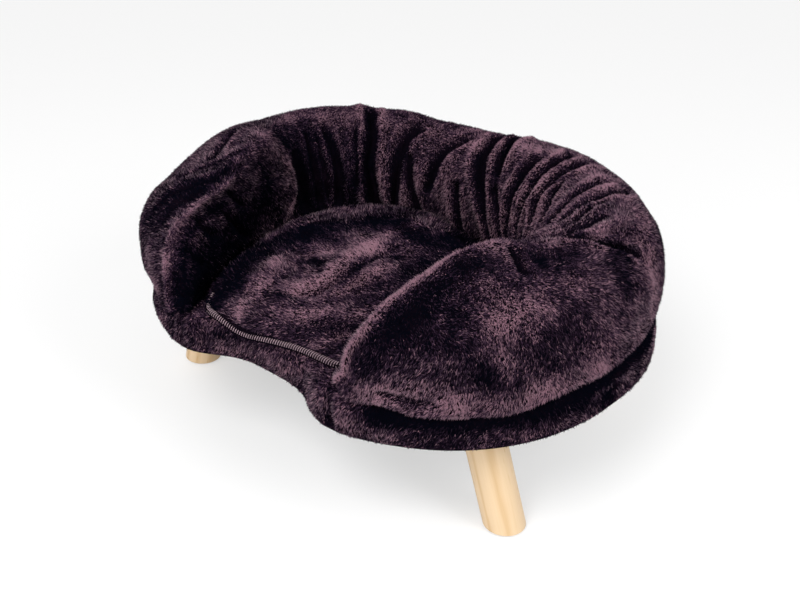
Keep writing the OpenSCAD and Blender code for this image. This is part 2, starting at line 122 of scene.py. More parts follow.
# Section of a felt pad: shares of its radius and of its thickness, from below to the top
PAD_ROWS = [(0, 0.0), (0.5, 0.0), (0.93, 0.0), (1.0, 0.12), (1.0, 0.8), (0.965, 1.0), (0.5, 1.0), (0, 1.0)]
# How far the grain is moved from leg to leg, as a share of the leg's place, and the eased edge
GRAIN_SHIFT, LEG_EASE = 0.31, 0.9

# Dark and light colours of what has no setting of its own
BASE_COLOURS = (0.02, 0.014, 0.018), (0.06, 0.042, 0.052)
BACKING_COLOURS = (0.02, 0.014, 0.018), (0.07, 0.05, 0.06)
DUST_COLOURS = (0.012, 0.012, 0.013), (0.04, 0.04, 0.042)
FELT_COLOURS = (0.02, 0.017, 0.016), (0.07, 0.06, 0.055)
PLY_COLOURS = (0.42, 0.29, 0.16), (0.68, 0.52, 0.34)
ZINC_COLOURS = (0.5, 0.51, 0.53), (0.72, 0.73, 0.75)

# The camera's place in metres and its turn in degrees
CAMERA_AT, CAMERA_TURN = (0.6045, -0.6972, 0.6495), (59.3, 0.0, 41.2)
# Lamps: name, place and width in metres, and power in watts
LAMPS = [
    ("key", (0.3, -1.4, 1.9), 1.2, 30.0),
    ("side", (1.9, 0.1, 1.5), 1.2, 22.0),
    ("front", (0.6, -2.2, 0.9), 1.6, 14.0),
]

# Rows of the bolster's section from the foot of the seat to the outer foot, as shares of its
# width and height and of its outward bulge: round the back, along the arms, and at the tips
BACK_ROWS = [
    (0, 0, 0), (-0.02, 0.24, 0), (0, 0.5, 0), (0.1, 0.76, 0), (0.3, 0.94, 0), (0.54, 1, 0),
    (0.78, 0.93, 0.1), (0.89, 0.83, 0.4), (0.96, 0.66, 0.7), (1, 0.45, 0.9), (1, 0.18, 1), (1, 0, 0),
]
ARM_ROWS = [
    (0, 0, 0), (-0.035, 0.2, 0), (-0.06, 0.42, 0), (-0.06, 0.62, 0), (-0.03, 0.8, 0),
    (0.01, 0.92, 0), (0.08, 1, 0), (0.36, 0.98, 0), (0.66, 0.88, 0.2), (0.9, 0.64, 0.7),
    (1, 0.11, 1), (1, 0, 0),
]
TIP_ROWS = [
    (0, 0, 0), (0, 0.3, 0), (0.02, 0.5, 0), (0.08, 0.7, 0), (0.2, 0.88, 0), (0.34, 0.97, 0),
    (0.5, 1, 0), (0.66, 0.96, 0.1), (0.82, 0.84, 0.4), (0.95, 0.58, 0.8), (1, 0.12, 1), (1, 0, 0),
]

# Folds of the covers: how deep each is, how wide at its first and last points, in millimetres,
# and its line as (angle from the back, row)
FOLDS = [
    (12, 3.0, 6.0, [(27, 0.3), (20, 1.3), (17, 1.9), (13, 2.4), (9, 2.9), (4, 3.6), (2, 4.4), (-2, 5.8)]),
    (11, 2.4, 3.0, [(37, 0.4), (29, 1.6), (26, 2.1), (23, 2.4), (19, 2.8)]),
    (11, 3.0, 5.0, [(18, 3.1), (14, 3.7), (12, 4.1), (9, 4.6), (5, 6.0)]),
    (11, 2.4, 4.4, [(44, 0.5), (36, 1.5), (34, 2.2), (31, 2.7), (30, 3.3), (27, 4.6)]),
    (12, 2.3, 4.2, [(52, 0.5), (44, 2.0), (42, 2.5), (40, 3.1), (37, 3.7), (36, 4.3), (33, 5.1), (28, 5.9)]),
    (12, 2.3, 4.0, [(64, 0.5), (55, 2.3), (51, 2.8), (47, 3.2), (44, 4.0), (42, 4.7), (35, 6.0)]),
    (11, 2.2, 3.6, [(74, 0.8), (66, 2.8), (60, 3.2), (55, 3.4), (52, 3.7), (47, 4.1)]),
    (11, 2.2, 4.0, [(82, 1.2), (73, 3.3), (68, 3.6), (63, 3.9), (59, 4.4), (54, 5.1), (49, 5.8)]),
    (10, 2.2, 4.0, [(88, 2.4), (79, 4.0), (72, 4.1), (67, 4.5), (62, 5.1), (57, 5.7), (52, 6.4)]),
    (7, 2.2, 3.0, [(90, 4.2), (80, 4.7), (74, 4.6), (70, 4.7), (64, 5.3)]),
    (6, 4.0, 6.0, [(86, 5.3), (82, 5.3), (77, 5.2), (73, 5.2)]),
    (14, 5.0, 5.0, [(-42, 0.2), (-46, 0.8), (-49, 2.4), (-48, 3.6), (-50, 5.7)]),
    (10, 4.0, 5.0, [(-37, 0.2), (-36, 1.6), (-35, 2.8), (-34, 3.8), (-29, 4.8)]),
    (8, 3.5, 4.0, [(-20, 0.2), (-24, 0.8), (-29, 2.0), (-31, 3.2)]),
    (9, 4.5, 4.5, [(-19, 1.6), (-17, 2.6), (-15, 3.5), (-9, 4.8)]),
    (8, 3.5, 4.0, [(3, 0.3), (0, 1.4), (-3, 2.4)]),
    (8, 3.0, 3.0, [(-71, 0.6), (-71, 1.6), (-72.5, 3.0), (-73, 4.2)]),
    (6, 2.5, 2.5, [(-67, 0.8), (-68, 1.6), (-69, 3.0), (-70, 4.0)]),
    (9, 3.5, 3.5, [(-63, 0.5), (-62, 2.2), (-64, 3.2), (-67, 4.3)]),
    (6, 3.0, 3.0, [(-54, 1.4), (-54, 2.6), (-54, 4.2)]),
    (8, 3.5, 3.5, [(-78, 0.5), (-78, 2.0), (-79, 3.6)]),
    (7, 4.0, 4.0, [(100, 6.3), (104, 7.0), (107, 7.5)]),
    (8, 3.5, 4.5, [(85, 5.5), (82, 6.0), (81, 6.6), (79, 7.1), (77, 7.8)]),
    (4, 3.0, 4.0, [(-138, 4.2), (-136, 3.2), (-132, 2.2)]),
    (4, 3.0, 4.0, [(-128, 3.7), (-124, 2.6), (-119, 1.6), (-113, 0.8)]),
    (4, 3.0, 4.0, [(-123, 4.2), (-120, 3.4), (-114, 2.5)]),
    (3, 3.0, 4.0, [(-146, 5.0), (-144, 3.0), (-141, 1.5)]),
    (4, 2.5, 3.0, [(147, 9.6), (143, 9.7), (139, 9.75), (135, 9.7)]),
    (4, 3.0, 4.0, [(-98, 7.3), (-106, 7.2), (-115, 7.0)]),
    (4, 3.0, 4.0, [(-107, 5.8), (-115, 6.6), (-121, 7.0), (-127, 7.6)]),
    (4, 3.0, 4.0, [(-117, 5.4), (-124, 5.7), (-131, 6.5), (-138, 7.9)]),
    (4, 3.0, 4.0, [(-129, 5.3), (-135, 6.1), (-141, 7.6)]),
]

# Strokes of brushed nap, painted shade and painted highlight, as drawn: how much lighter, how far it
# reaches and its line, in millimetres
NAP_AND_SHADE_STROKES = {
    "bolster": [
        # Right arm: painted shade under the seam, a light patch in the middle, light towards its foot
        (-0.8, 13, [(122, -187, 172), (130, -171, 199), (141, -143, 219), (145, -110, 229), (149, -87, 232)]),
        (-0.4, 16, [(141, -161, 207), (158, -140, 216)]),
        (0.75, 15, [(196, -112, 211), (203, -89, 212), (209, -82, 208)]),
        (0.35, 14, [(185, -103, 219), (201, -123, 200), (208, -126, 180)]),
        (0.7, 13, [
            (129, -189, 157), (153, -176, 156), (178, -162, 153), (210, -132, 153), (231, -83, 152),
            (242, -42, 149),
        ]),
        (-0.6, 9, [(200, -138, 177), (208, -131, 166), (216, -118, 163)]),
        (-0.4, 14, [(220, -97, 187), (224, -92, 173)]),
        (-0.7, 7, [(162, -42, 231), (176, -45, 228)]),
        (-0.6, 10, [(183, -43, 226), (188, -7, 222)]),
        (0.5, 14, [(208, 68, 216), (229, 55, 176), (242, 22, 150)]),
        (0.35, 25, [(236, -37, 174), (237, -10, 180)]),
        (0.5, 5, [(169, -55, 226), (178, -59, 225)]),
        (0.45, 6, [(140, -68, 237), (149, -51, 233), (159, -47, 229)]),
        (-0.45, 9, [(211, 13, 213), (228, 13, 199)]),
        (0.3, 10, [(165, -3, 227), (191, 24, 229)]),
        (-0.35, 6, [(177, 7, 227), (194, 22, 223), (212, 30, 215)]),
        (-0.3, 14, [(161, -161, 197), (180, -149, 196)]),
        # Left arm: dark inside, a painted highlight on its edge over the back, light and dark streaks outside
        (-0.9, 26, [(-88, -179, 163), (-108, -138, 170), (-120, -91, 178), (-126, -59, 185)]),
        (0.3, 12, [(-143, -183, 185), (-151, -183, 160), (-119, -196, 153)]),
        (0.35, 5, [(-178, -132, 216), (-151, -128, 229), (-137, -119, 232)]),
        (0.3, 6, [(-172, -77, 230), (-152, -69, 237)]),
        (-0.15, 12, [(-148, -131, 229), (-158, -106, 227), (-154, -90, 231)]),
        (-0.5, 7, [(-132, -140, 225), (-128, -127, 225), (-124, -114, 226)]),
        (-0.4, 14, [(-145, -175, 200), (-146, -157, 215), (-134, -143, 225)]),
        (0.6, 3, [
            (-146, -44, 247), (-132, -37, 235), (-130, -22, 215), (-141, -3, 183), (-125, -22, 177),
            (-126, -32, 165),
        ]),
        (-0.3, 16, [(-129, -54, 224), (-126, -46, 191)]),
        (0.3, 10, [(-108, -170, 201), (-116, -145, 200)]),
        # Back: dark at the left, painted highlight along the crest and on the broad folds
        (-0.9, 12, [(-140, 8, 194), (-136, 5, 159)]),
        (-0.7, 16, [(-113, 41, 197), (-108, 39, 155)]),
        (-0.5, 14, [(-138, 33, 217), (-131, 17, 159)]),
        (0.5, 8, [(-178, 19, 232), (-185, 43, 231)]),
        (0.6, 6, [(-165, 57, 232), (-151, 48, 223)]),
        (0.6, 6, [(-147, 75, 232), (-130, 68, 225)]),
        (0.3, 8, [(-170, 41, 231), (-152, 65, 231)]),
        (0.6, 9, [(-122, 92, 221), (-107, 67, 202), (-95, 65, 166)]),
        (-0.5, 8, [(-93, 82, 220), (-77, 73, 201), (-75, 67, 182)]),
        (0.45, 12, [(-82, 118, 223), (-59, 122, 221)]),
        (0.3, 18, [(-18, 90, 211), (-5, 80, 177)]),
        (0.6, 14, [(-7, 121, 225), (39, 122, 233), (71, 126, 235)]),
        (0.4, 18, [(123, 114, 234), (171, 87, 235)]),
        (0.4, 16, [(96, 78, 224), (137, 53, 226), (177, 31, 233)]),
        (0.35, 14, [(165, 33, 234), (187, 47, 236), (194, 83, 225)]),
    ],
    "deck": [
        # Painted shade under the arm and the mat, lighter at the corner and the right
        (-0.9, 8, [(129, -188, 134), (170, -164, 131), (209, -129, 133), (233, -83, 131), (243, -24, 120)]),
        (-0.5, 6, [(-52, -183, 129), (3, -175, 130), (74, -187, 140)]),
        (0.35, 14, [(-45, -179, 113), (28, -175, 131), (87, -195, 131), (102, -199, 129)]),
        (0.4, 7, [(110, -197, 120), (141, -184, 116)]),
        (0.6, 12, [(231, 61, 133), (231, 66, 109)]),
        (0.35, 9, [(234, -82, 117), (245, -10, 108)]),
    ],
    "mat": [
        # Painted shade along the left and back edges, and painted highlight on their risen rim
        (-1, 14, [
            (-70, -175, 147), (-77, -149, 153), (-92, -113, 155), (-100, -76, 156), (-95, -38, 156),
            (-80, 4, 153), (-63, 29, 154), (-42, 35, 156),
        ]),
        (0.4, 3, [
            (-109, -77, 158), (-110, -51, 158), (-108, -31, 157), (-101, -3, 156), (-94, 26, 156),
            (-82, 41, 156),
        ]),
        # Light streaks where the nap is brushed up, and dark ones beside them, as painted shade in the
        # creases
        (1.1, 8, [(-20, -122, 155), (-15, -100, 155), (-20, -76, 157), (-27, -43, 158), (-26, -19, 157)]),
        (0.9, 9, [(-26, -19, 157), (-30, 12, 156), (-33, 37, 157), (-25, 53, 155)]),
        (0.6, 5, [(10, -99, 156), (9, -80, 157), (5, -53, 157), (10, -29, 155)]),
        (-0.9, 5, [(-3, -79, 155), (-13, -49, 151), (-13, -20, 150), (5, -11, 154)]),
        (0.7, 11, [(-36, -171, 151), (-43, -152, 155), (-65, -116, 156), (-74, -89, 156)]),
        (0.6, 6, [(-2, -154, 153), (5, -141, 153), (20, -126, 154)]),
        (0.5, 5, [(47, -109, 156), (49, -88, 157)]),
        (0.4, 6, [(-67, -70, 153), (-45, -51, 157)]),
        (-0.7, 5, [(-55, -80, 155), (-50, -70, 153), (-27, -80, 157)]),
        (-0.6, 9, [(23, -65, 155), (33, -42, 154), (28, -5, 154)]),
        (-1, 18, [(-25, 38, 155), (2, 35, 154), (17, 54, 152), (35, 55, 151)]),
        (-0.5, 10, [(27, -101, 156), (45, -71, 156)]),
        (0.5, 5, [(44, -164, 149), (56, -151, 153), (61, -134, 153)]),
        (-0.5, 5, [(57, -166, 147), (67, -151, 152), (66, -144, 152)]),
        (-0.4, 10, [(22, -158, 150), (51, -128, 154)]),
        (-0.6, 6, [(-17, -132, 156), (-40, -135, 153)]),
        (-0.4, 10, [(-93, -59, 156), (-67, -29, 155)]),
    ],
}


def smooth(t):
    """From 0 to 1 as t does, without a kink at either end."""
    s = np.clip(t, 0, 1)
    return s * s * (3 - 2 * s)


def unit(v):
    """Vectors brought to length 1."""
    return v / np.maximum(np.linalg.norm(v, axis=-1, keepdims=True), 1e-12)


def ramp(x, start, width):
    """From 0 at start to 1 a width further on; a negative width runs the other way."""
    return smooth((x - start) / width)


def hump(x, middle, width, power=2):
    """1 at the middle, and fading out on both sides."""
    return np.exp(-((abs(x - middle) / width) ** power))


def oval_r(turn, half, semi, power):
    """Distance from the middle to a superellipse, at an angle from +Y in radians."""
    return ((abs(np.sin(turn)) / half) ** power + (abs(np.cos(turn)) / semi) ** power) ** (-1 / power)


def scoop_of(x):
    """How far the scoop draws the deck's front edge in."""
    return SCOOP_D * hump(x, 0, SCOOP_W, SCOOP_POWER)


def bean(deg):
    """Points of the deck's outline."""
    turn = np.radians(deg)
    front = np.cos(turn) < 0
    semi, power = np.where(front, DECK_FRONT, DECK_BACK), np.where(front, FRONT_POWER, BACK_POWER)
    r = oval_r(turn, DECK_HALF, semi, power)
    x = r * np.sin(turn)
    return np.stack([x, r * np.cos(turn) + np.where(front, scoop_of(x), 0)], -1)


def bean_in(deg, inset):
    """Points of the deck's outline moved inwards."""
    along = unit(bean(deg + 0.5) - bean(deg - 0.5))
    return bean(deg) + np.asarray(inset)[..., None] * np.stack([along[..., 1], -along[..., 0]], -1)


def seat_foot(deg):
    """The bolster's foot on the seat's side."""
    away = abs(deg)
    along = (away - SIDE_ANGLE) / (TIP_ANGLE - SIDE_ANGLE)
    turn = np.radians(90 * np.minimum(away / SIDE_ANGLE, 1))
    r = oval_r(turn, SEAT_HALF, ARCH_SEMI, ARCH_POWER)
    x = np.where(along > 0, SEAT_HALF - TIP_TURN * np.clip(along, 0, None) ** TIP_POWER, r * np.sin(turn))
    y = np.where(along > 0, -ARM_START - ARM_LEN * along, r * np.cos(turn) - ARM_START)
    return np.stack([np.sign(deg) * x, y], -1)


def outer_foot(deg):
    """The bolster's foot on the outer side."""
    return bean_in(deg, np.full(np.shape(deg), BOLSTER_IN))


def bolster_height(deg):
    """Height of the bolster's crest above its foot."""
    away = abs(deg)
    left = np.clip((TIP_ANGLE - away) / (TIP_ANGLE - SIDE_ANGLE), 0, 1)
    full = BOLSTER_H - BACK_DROP * (1 - ramp(away, 50, 50))
    return TIP_H + (full - TIP_H) * (1 - (1 - left) ** 2) ** (1 / 2.2)


def through_rows(rows, t):
    """A smooth curve through each station's rows, read at that station's own t."""
    last = rows.shape[1] - 1
    i = np.clip(np.floor(t).astype(int), 0, last - 1)
    f = (t - i)[..., None]

    def at(k):
        return np.take_along_axis(rows, np.clip(k, 0, last)[..., None], 1)

    p0, p1, p2, p3 = at(i - 1), at(i), at(i + 1), at(i + 2)
    square, cube = 2 * p0 - 5 * p1 + 4 * p2 - p3, 3 * p1 - p0 - 3 * p2 + p3
    return 0.5 * (2 * p1 + (p2 - p0) * f + square * f**2 + cube * f**3)


def bolster_surface(deg, t):
    """Points of the bolster's plain form at angles deg [n] and rows t [n, m]."""
    away = abs(deg)[:, None, None]
    on_arm = ramp(away, ARM_FROM, ARM_OVER)
    on_tip = ramp(away, TIP_FROM, TIP_ANGLE - TIP_FROM)
    shares = (
        (1 - on_arm) * np.array(BACK_ROWS)
        + on_arm * (1 - on_tip) * np.array(ARM_ROWS)
        + on_arm * on_tip * np.array(TIP_ROWS)
    )
    inner = seat_foot(deg)
    across = outer_foot(deg) - inner
    width = np.linalg.norm(across, axis=-1, keepdims=True)
    outwards = width * shares[..., 0] + BOLSTER_BULGE * shares[..., 2]
    p = through_rows(np.stack([outwards, bolster_height(deg)[:, None] * shares[..., 1]], -1), t)
    flat = inner[:, None, :] + p[..., :1] * unit(across)[:, None, :]
    return np.concatenate([flat, DECK_TOP + REST_GAP + p[..., 1:]], -1)


def frame_of(grid, closed=False):
    """Outward normals of a grid of points, and its two directions: clockwise seen from above,
    and outwards or over the crest."""
    if closed:
        along = np.roll(grid, -1, 0) - np.roll(grid, 1, 0)
    else:
        along = np.gradient(grid, axis=0)
    across = np.gradient(grid, axis=1)
    return unit(np.cross(along, across)), unit(along), unit(across)


def cloud(points, size, seed):
    """Smooth noise from -1 to 1 at points, with lumps of about that size."""
    table = np.random.RandomState(seed).rand(CLOUD_CELLS, CLOUD_CELLS, CLOUD_CELLS) * 2 - 1
    p = points / size
    i = np.floor(p).astype(int)
    f = smooth(p - i)
    total = 0
    for dx in (0, 1):
        for dy in (0, 1):
            for dz in (0, 1):
                w = (
                    (f[..., 0] if dx else 1 - f[..., 0])
                    * (f[..., 1] if dy else 1 - f[..., 1])
                    * (f[..., 2] if dz else 1 - f[..., 2])
                )
                at = (i + (dx, dy, dz)) % CLOUD_CELLS
                total = total + w * table[at[..., 0], at[..., 1], at[..., 2]]
    return total


def lumps(points, rows):
    """Noise at points, summed over rows of weight, size and seed."""
    return sum(weight * cloud(points, size, seed) for weight, size, seed in rows)


# ---------------------------------------------------------------- meshes


def grid_faces(n, m, closed=False):
    """Quads of an n by m grid of points, facing the way of frame_of's normals."""
    i, j = np.meshgrid(np.arange(n if closed else n - 1), np.arange(m - 1), indexing="ij")
    k = (i + 1) % n
    return np.stack([i * m + j, k * m + j, k * m + j + 1, i * m + j + 1], -1).reshape(-1, 4)


def mesh_from(name, points, faces, materials, tones=None):
    """An object from points in millimetres and faces with equal numbers of corners.

    tones: which of the materials each face has.
    """
    points = np.asarray(points, dtype=np.float32).reshape(-1, 3) * MM
    faces = np.asarray(faces, dtype=np.int32)
    count, corners = faces.shape
    mesh = bpy.data.meshes.new(name)
    mesh.vertices.add(len(points))
    mesh.vertices.foreach_set("co", points.ravel())
    mesh.loops.add(count * corners)
    mesh.loops.foreach_set("vertex_index", faces.ravel())
    mesh.polygons.add(count)
    mesh.polygons.foreach_set("loop_start", np.arange(0, count * corners, corners, dtype=np.int32))
    if tones is not None:
        mesh.polygons.foreach_set("material_index", np.asarray(tones, dtype=np.int32))
    mesh.update(calc_edges=True)
    mesh.validate()
    mesh.polygons.foreach_set("use_smooth", np.full(count, True))
    for material in materials:
        mesh.materials.append(material)
    piece = bpy.data.objects.new(name, mesh)
    bpy.context.collection.objects.link(piece)
    return piece


def thicken(piece, thickness):
    """Gives an open cover its thickness, inwards."""
    shell = piece.modifiers.new("thickness", "SOLIDIFY")
    shell.thickness = thickness * MM
    shell.offset = -1
    bpy.context.view_layer.objects.active = piece
    with bpy.context.temp_override(object=piece, active_object=piece, selected_objects=[piece]):
        bpy.ops.object.modifier_apply(modifier=shell.name)
    return piece


def slab(name, outline, z, thickness, materials, holes=(), spacing=9.0, lift=None):
    """A thin cloth inside an outline, with round holes, as a closed sheet.

    spacing: between its points; lift: from places to how much higher the cloth lies there.
    """
    rings = [outline] + [
        np.stack([x + r * np.cos(turn), y + r * np.sin(turn)], -1)
        for x, y, r in holes
        for turn in [np.linspace(0, 2 * math.pi, 20, endpoint=False)]
    ]
    lo, hi = outline.min(0), outline.max(0)
    gx, gy = np.meshgrid(np.arange(lo[0], hi[0], spacing), np.arange(lo[1], hi[1], spacing))
    inner = np.stack([gx.ravel(), gy.ravel()], -1)
    inner = inner[inside(inner, outline * (1 - spacing / 400))]
    for x, y, r in holes:
        inner = inner[np.hypot(inner[:, 0] - x, inner[:, 1] - y) > r + spacing / 3]
    points = np.concatenate(rings + [inner])
    edges, start = [], 0
    for ring in rings:
        n = len(ring)
        edges += [(start + i, start + (i + 1) % n) for i in range(n)]
        start += n
    found = delaunay_2d_cdt([Vector(p) for p in points], edges, [], 1, 1e-5)
    flat, faces = np.array([tuple(p) for p in found[0]]), found[2]
    middle = np.array([flat[list(f)].mean(0) for f in faces])
    keep = inside(middle, outline)
    for x, y, r in holes:
        keep &= np.hypot(middle[:, 0] - x, middle[:, 1] - y) > r
    faces = np.array([f for f, k in zip(faces, keep) if k])
    a, b, c = (flat[faces[:, i]] for i in range(3))
    ab, ac = b - a, c - a
    turned = ab[:, 0] * ac[:, 1] - ab[:, 1] * ac[:, 0] < 0
    faces[turned] = faces[turned][:, ::-1]
    height = z + (lift(flat) if lift else np.zeros(len(flat)))
    piece = mesh_from(name, np.column_stack([flat, height]), faces, materials)
    return thicken(piece, thickness)


def inside(points, outline):
    """Which points lie inside a closed outline."""
    x, y = points[:, 0], points[:, 1]
    found = np.zeros(len(points), bool)
    for (ax, ay), (bx, by) in zip(outline, np.roll(outline, -1, 0)):
        spans = (ay > y) != (by > y)
        if spans.any():
            found ^= spans & (x < (bx - ax) * (y - ay) / (by - ay + 1e-12) + ax)
    return found


def tufts(name, grid, closed, materials, settings):
    """Pile on a grid of points: slim tapered tufts with three sides, one piece of many.

    settings: count, length, width, rise (degrees from the surface), nap (degrees from the
    grid's second direction, or from toward), shade and trim (how light and how long, per grid
    point; the shade is painted shade and highlight), brushed (strokes of brushed nap, painted shade
    and painted highlight: how much lighter, reach and line), keep and where (masks of places), seed.
    """
    draw = np.random.RandomState(settings["seed"])
    normal, along, across = frame_of(grid, closed)
    n, m = grid.shape[:2]
    quads = grid_faces(n, m, closed)
    flat = grid.reshape(-1, 3)
    a, b, c, d = (flat[quads[:, k]] for k in range(4))
    area = 0.5 * np.linalg.norm(np.cross(c - a, d - b), axis=-1)
    if "where" in settings:
        area = area * settings["where"](flat[quads].mean(1))
    pick = draw.choice(len(quads), settings["count"], p=area / area.sum())
    u, v = draw.rand(2, len(pick), 1)

    def mixed(values):
        q = values.reshape(-1, values.shape[-1])[quads[pick]]
        return (q[:, 0] * (1 - u) + q[:, 1] * u) * (1 - v) + (q[:, 3] * (1 - u) + q[:, 2] * u) * v

    root, up, side, down = mixed(grid), unit(mixed(normal)), unit(mixed(along)), unit(mixed(across))
    bias = mixed(settings["shade"][..., None])[:, 0] if "shade" in settings else np.zeros(len(root))
    trim = mixed(settings["trim"][..., None]) if "trim" in settings else np.ones((len(root), 1))
    if "toward" in settings:
        toward = settings["toward"](root)
        down = unit(toward - (toward * up).sum(-1, keepdims=True) * up)
        side = np.cross(down, up)
    if "keep" in settings:
        kept = settings["keep"](root)
        root, up, side, down = root[kept], up[kept], side[kept], down[kept]
        bias, trim = bias[kept], trim[kept]
    k = len(root)
    heading = settings["nap"] + NAP_TURN * lumps(root, NAP_LUMPS) + NAP_FINE * cloud(root, NAP_FINE_SIZE, 4)
    heading = np.radians(heading + NAP_RANDOM * draw.randn(k))[:, None]
    lie = unit(np.cos(heading) * down + np.sin(heading) * side)
    risen = settings["rise"] + RISE_TURN * cloud(root, RISE_SIZE, 3) + RISE_RANDOM * draw.randn(k)
    rise = np.radians(np.clip(risen, *RISE_LIMITS))[:, None]
    way = unit(np.cos(rise) * lie + np.sin(rise) * up)
    least, more = LENGTH_SHARES
    length = (settings["length"] * (least + more * draw.rand(k)))[:, None] * trim
    least, more = WIDTH_SHARES
    width = (settings["width"] * (least + more * draw.rand(k)))[:, None]
    right = unit(np.cross(way, up))
    front = unit(np.cross(right, way))
    root = root - ROOT_DEPTH * up
    corners = [
        root + width * (math.cos(turn) * right + math.sin(turn) * front)
        for turn in (math.radians(90), math.radians(210), math.radians(330))
    ]
    stray = TIP_STRAYS * length * unit(np.cross(up, lie)) * draw.randn(k)[:, None]
    tip = root + length * way - TIP_SINKS * length * up + stray
    points = np.stack(corners + [tip], 1).reshape(-1, 3)
    base = (np.arange(k) * 4)[:, None, None]
    faces = (base + np.array([[1, 0, 3], [2, 1, 3], [0, 2, 3]])[None]).reshape(-1, 3)
    # A tuft's tone: random mottle, its place's painted shade and highlight, and the strokes of brushed nap,
    # painted shade and painted highlight
    shade = lumps(root, SHADE_LUMPS) + SHADE_RANDOM * draw.randn(k) + bias
    for lift, reach, line in settings["brushed"]:
        shade += lift * hump(to_line(root, np.array(line, float)), 0, reach)
    tones = np.repeat(np.digitize(shade, TONE_STEPS), 3)
    return mesh_from(name, points, faces, materials, tones)


# ---------------------------------------------------------------- materials


class Nodes:
    """A node tree with short calls for adding and joining nodes."""

    def __init__(self, tree):
        self.tree = tree

    def add(self, kind, inputs=(), **settings):
        node = self.tree.nodes.new(kind)
        for name, value in settings.items():
            setattr(node, name, value)
        for name, value in dict(inputs).items():
            self.set(node.inputs[name], value)
        return node

    def set(self, socket, value):
        if isinstance(value, bpy.types.NodeSocket):
            self.tree.links.new(value, socket)
        elif isinstance(value, bpy.types.Node):
            self.tree.links.new(value.outputs[0], socket)
        else:
            socket.default_value = value

    def math(self, operation, a, b=0.0):
        return self.add("ShaderNodeMath", {0: a, 1: b}, operation=operation).outputs[0]

    def mix(self, factor, a, b, blend="MIX"):
        node = self.add("ShaderNodeMix", data_type="RGBA", blend_type=blend)
        self.set(node.inputs[0], factor)
        self.set(node.inputs[6], a)
        self.set(node.inputs[7], b)
        return node.outputs[2]

    def spread(self, value, low, high, to_low=0.0, to_high=1.0):
        """A value from one range brought to another, and held inside it."""
        node = self.add("ShaderNodeMapRange", {1: low, 2: high, 3: to_low, 4: to_high})
        self.set(node.inputs[0], value)
        return node.outputs[0]

    def noise(self, vector, scale, detail=2.0, roughness=0.5):
        return self.add(
            "ShaderNodeTexNoise", {"Vector": vector, "Scale": scale, "Detail": detail, "Roughness": roughness}
        ).outputs[0]

    def stretched(self, vector, scale):
        """A place scaled along each axis, which makes a pattern finer along it."""
        return self.add("ShaderNodeMapping", {"Vector": vector, "Scale": scale}).outputs[0]


def group_of(name, inputs, outputs, build):
    """A shader node group with named inputs and outputs, built once."""
    if name in bpy.data.node_groups:
        return bpy.data.node_groups[name]
    tree = bpy.data.node_groups.new(name, "ShaderNodeTree")
    kinds = {"vector": "NodeSocketVector", "colour": "NodeSocketColor", "value": "NodeSocketFloat"}
    for label, kind in inputs:
        tree.interface.new_socket(label, in_out="INPUT", socket_type=kinds[kind])
    for label, kind in outputs:
        tree.interface.new_socket(label, in_out="OUTPUT", socket_type=kinds[kind])
    nodes = Nodes(tree)
    start, end = nodes.add("NodeGroupInput"), nodes.add("NodeGroupOutput")
    for label, value in build(nodes, start.outputs).items():
        nodes.set(end.inputs[label], value)
    return tree


def nap_group():
    """Short dense nap, of the cloth under the tufts and of felt: patches and fine fibres."""

    def build(nodes, given):
        at = given["Vector"]
        patches = nodes.noise(at, 26.0, 3.0, 0.6)
        fine = nodes.noise(nodes.stretched(at, (1.0, 1.0, 0.35)), 620.0, 3.0, 0.6)
        lit = nodes.math("ADD", nodes.math("MULTIPLY", patches, 0.6), nodes.math("MULTIPLY", fine, 0.5))
        shade = nodes.spread(lit, 0.38, 0.72)
        return {
            "Color": nodes.mix(shade, given["Dark"], given["Light"]),
            "Roughness": nodes.spread(fine, 0.2, 0.8, 0.95, 0.8),
            "Height": fine,
        }

    return group_of(
        "Plush nap",
        [("Vector", "vector"), ("Dark", "colour"), ("Light", "colour")],
        [("Color", "colour"), ("Roughness", "value"), ("Height", "value")],
        build,
    )


def weave_group():
    """Crossed threads of a woven or bonded cloth."""

    def build(nodes, given):
        at = given["Vector"]
        size = given["Threads per metre"]
        apart = nodes.add("ShaderNodeSeparateXYZ", {0: at})
        turns = nodes.math("MULTIPLY", size, 2 * math.pi)
        warp = nodes.math("SINE", nodes.math("MULTIPLY", apart.outputs[0], turns))
        weft = nodes.math("SINE", nodes.math("MULTIPLY", apart.outputs[1], turns))
        threads = nodes.math("MULTIPLY", warp, weft)
        mottle = nodes.noise(at, 180.0, 3.0)
        mask = nodes.spread(nodes.math("ADD", nodes.math("MULTIPLY", threads, 0.25), mottle), 0.2, 0.9)
        return {
            "Color": nodes.mix(mask, given["Dark"], given["Light"]),
            "Roughness": nodes.spread(mottle, 0.3, 0.7, 0.75, 0.95),
            "Height": threads,
        }

    return group_of(
        "Cloth weave",
        [("Vector", "vector"), ("Threads per metre", "value"), ("Dark", "colour"), ("Light", "colour")],
        [("Color", "colour"), ("Roughness", "value"), ("Height", "value")],
        build,
    )


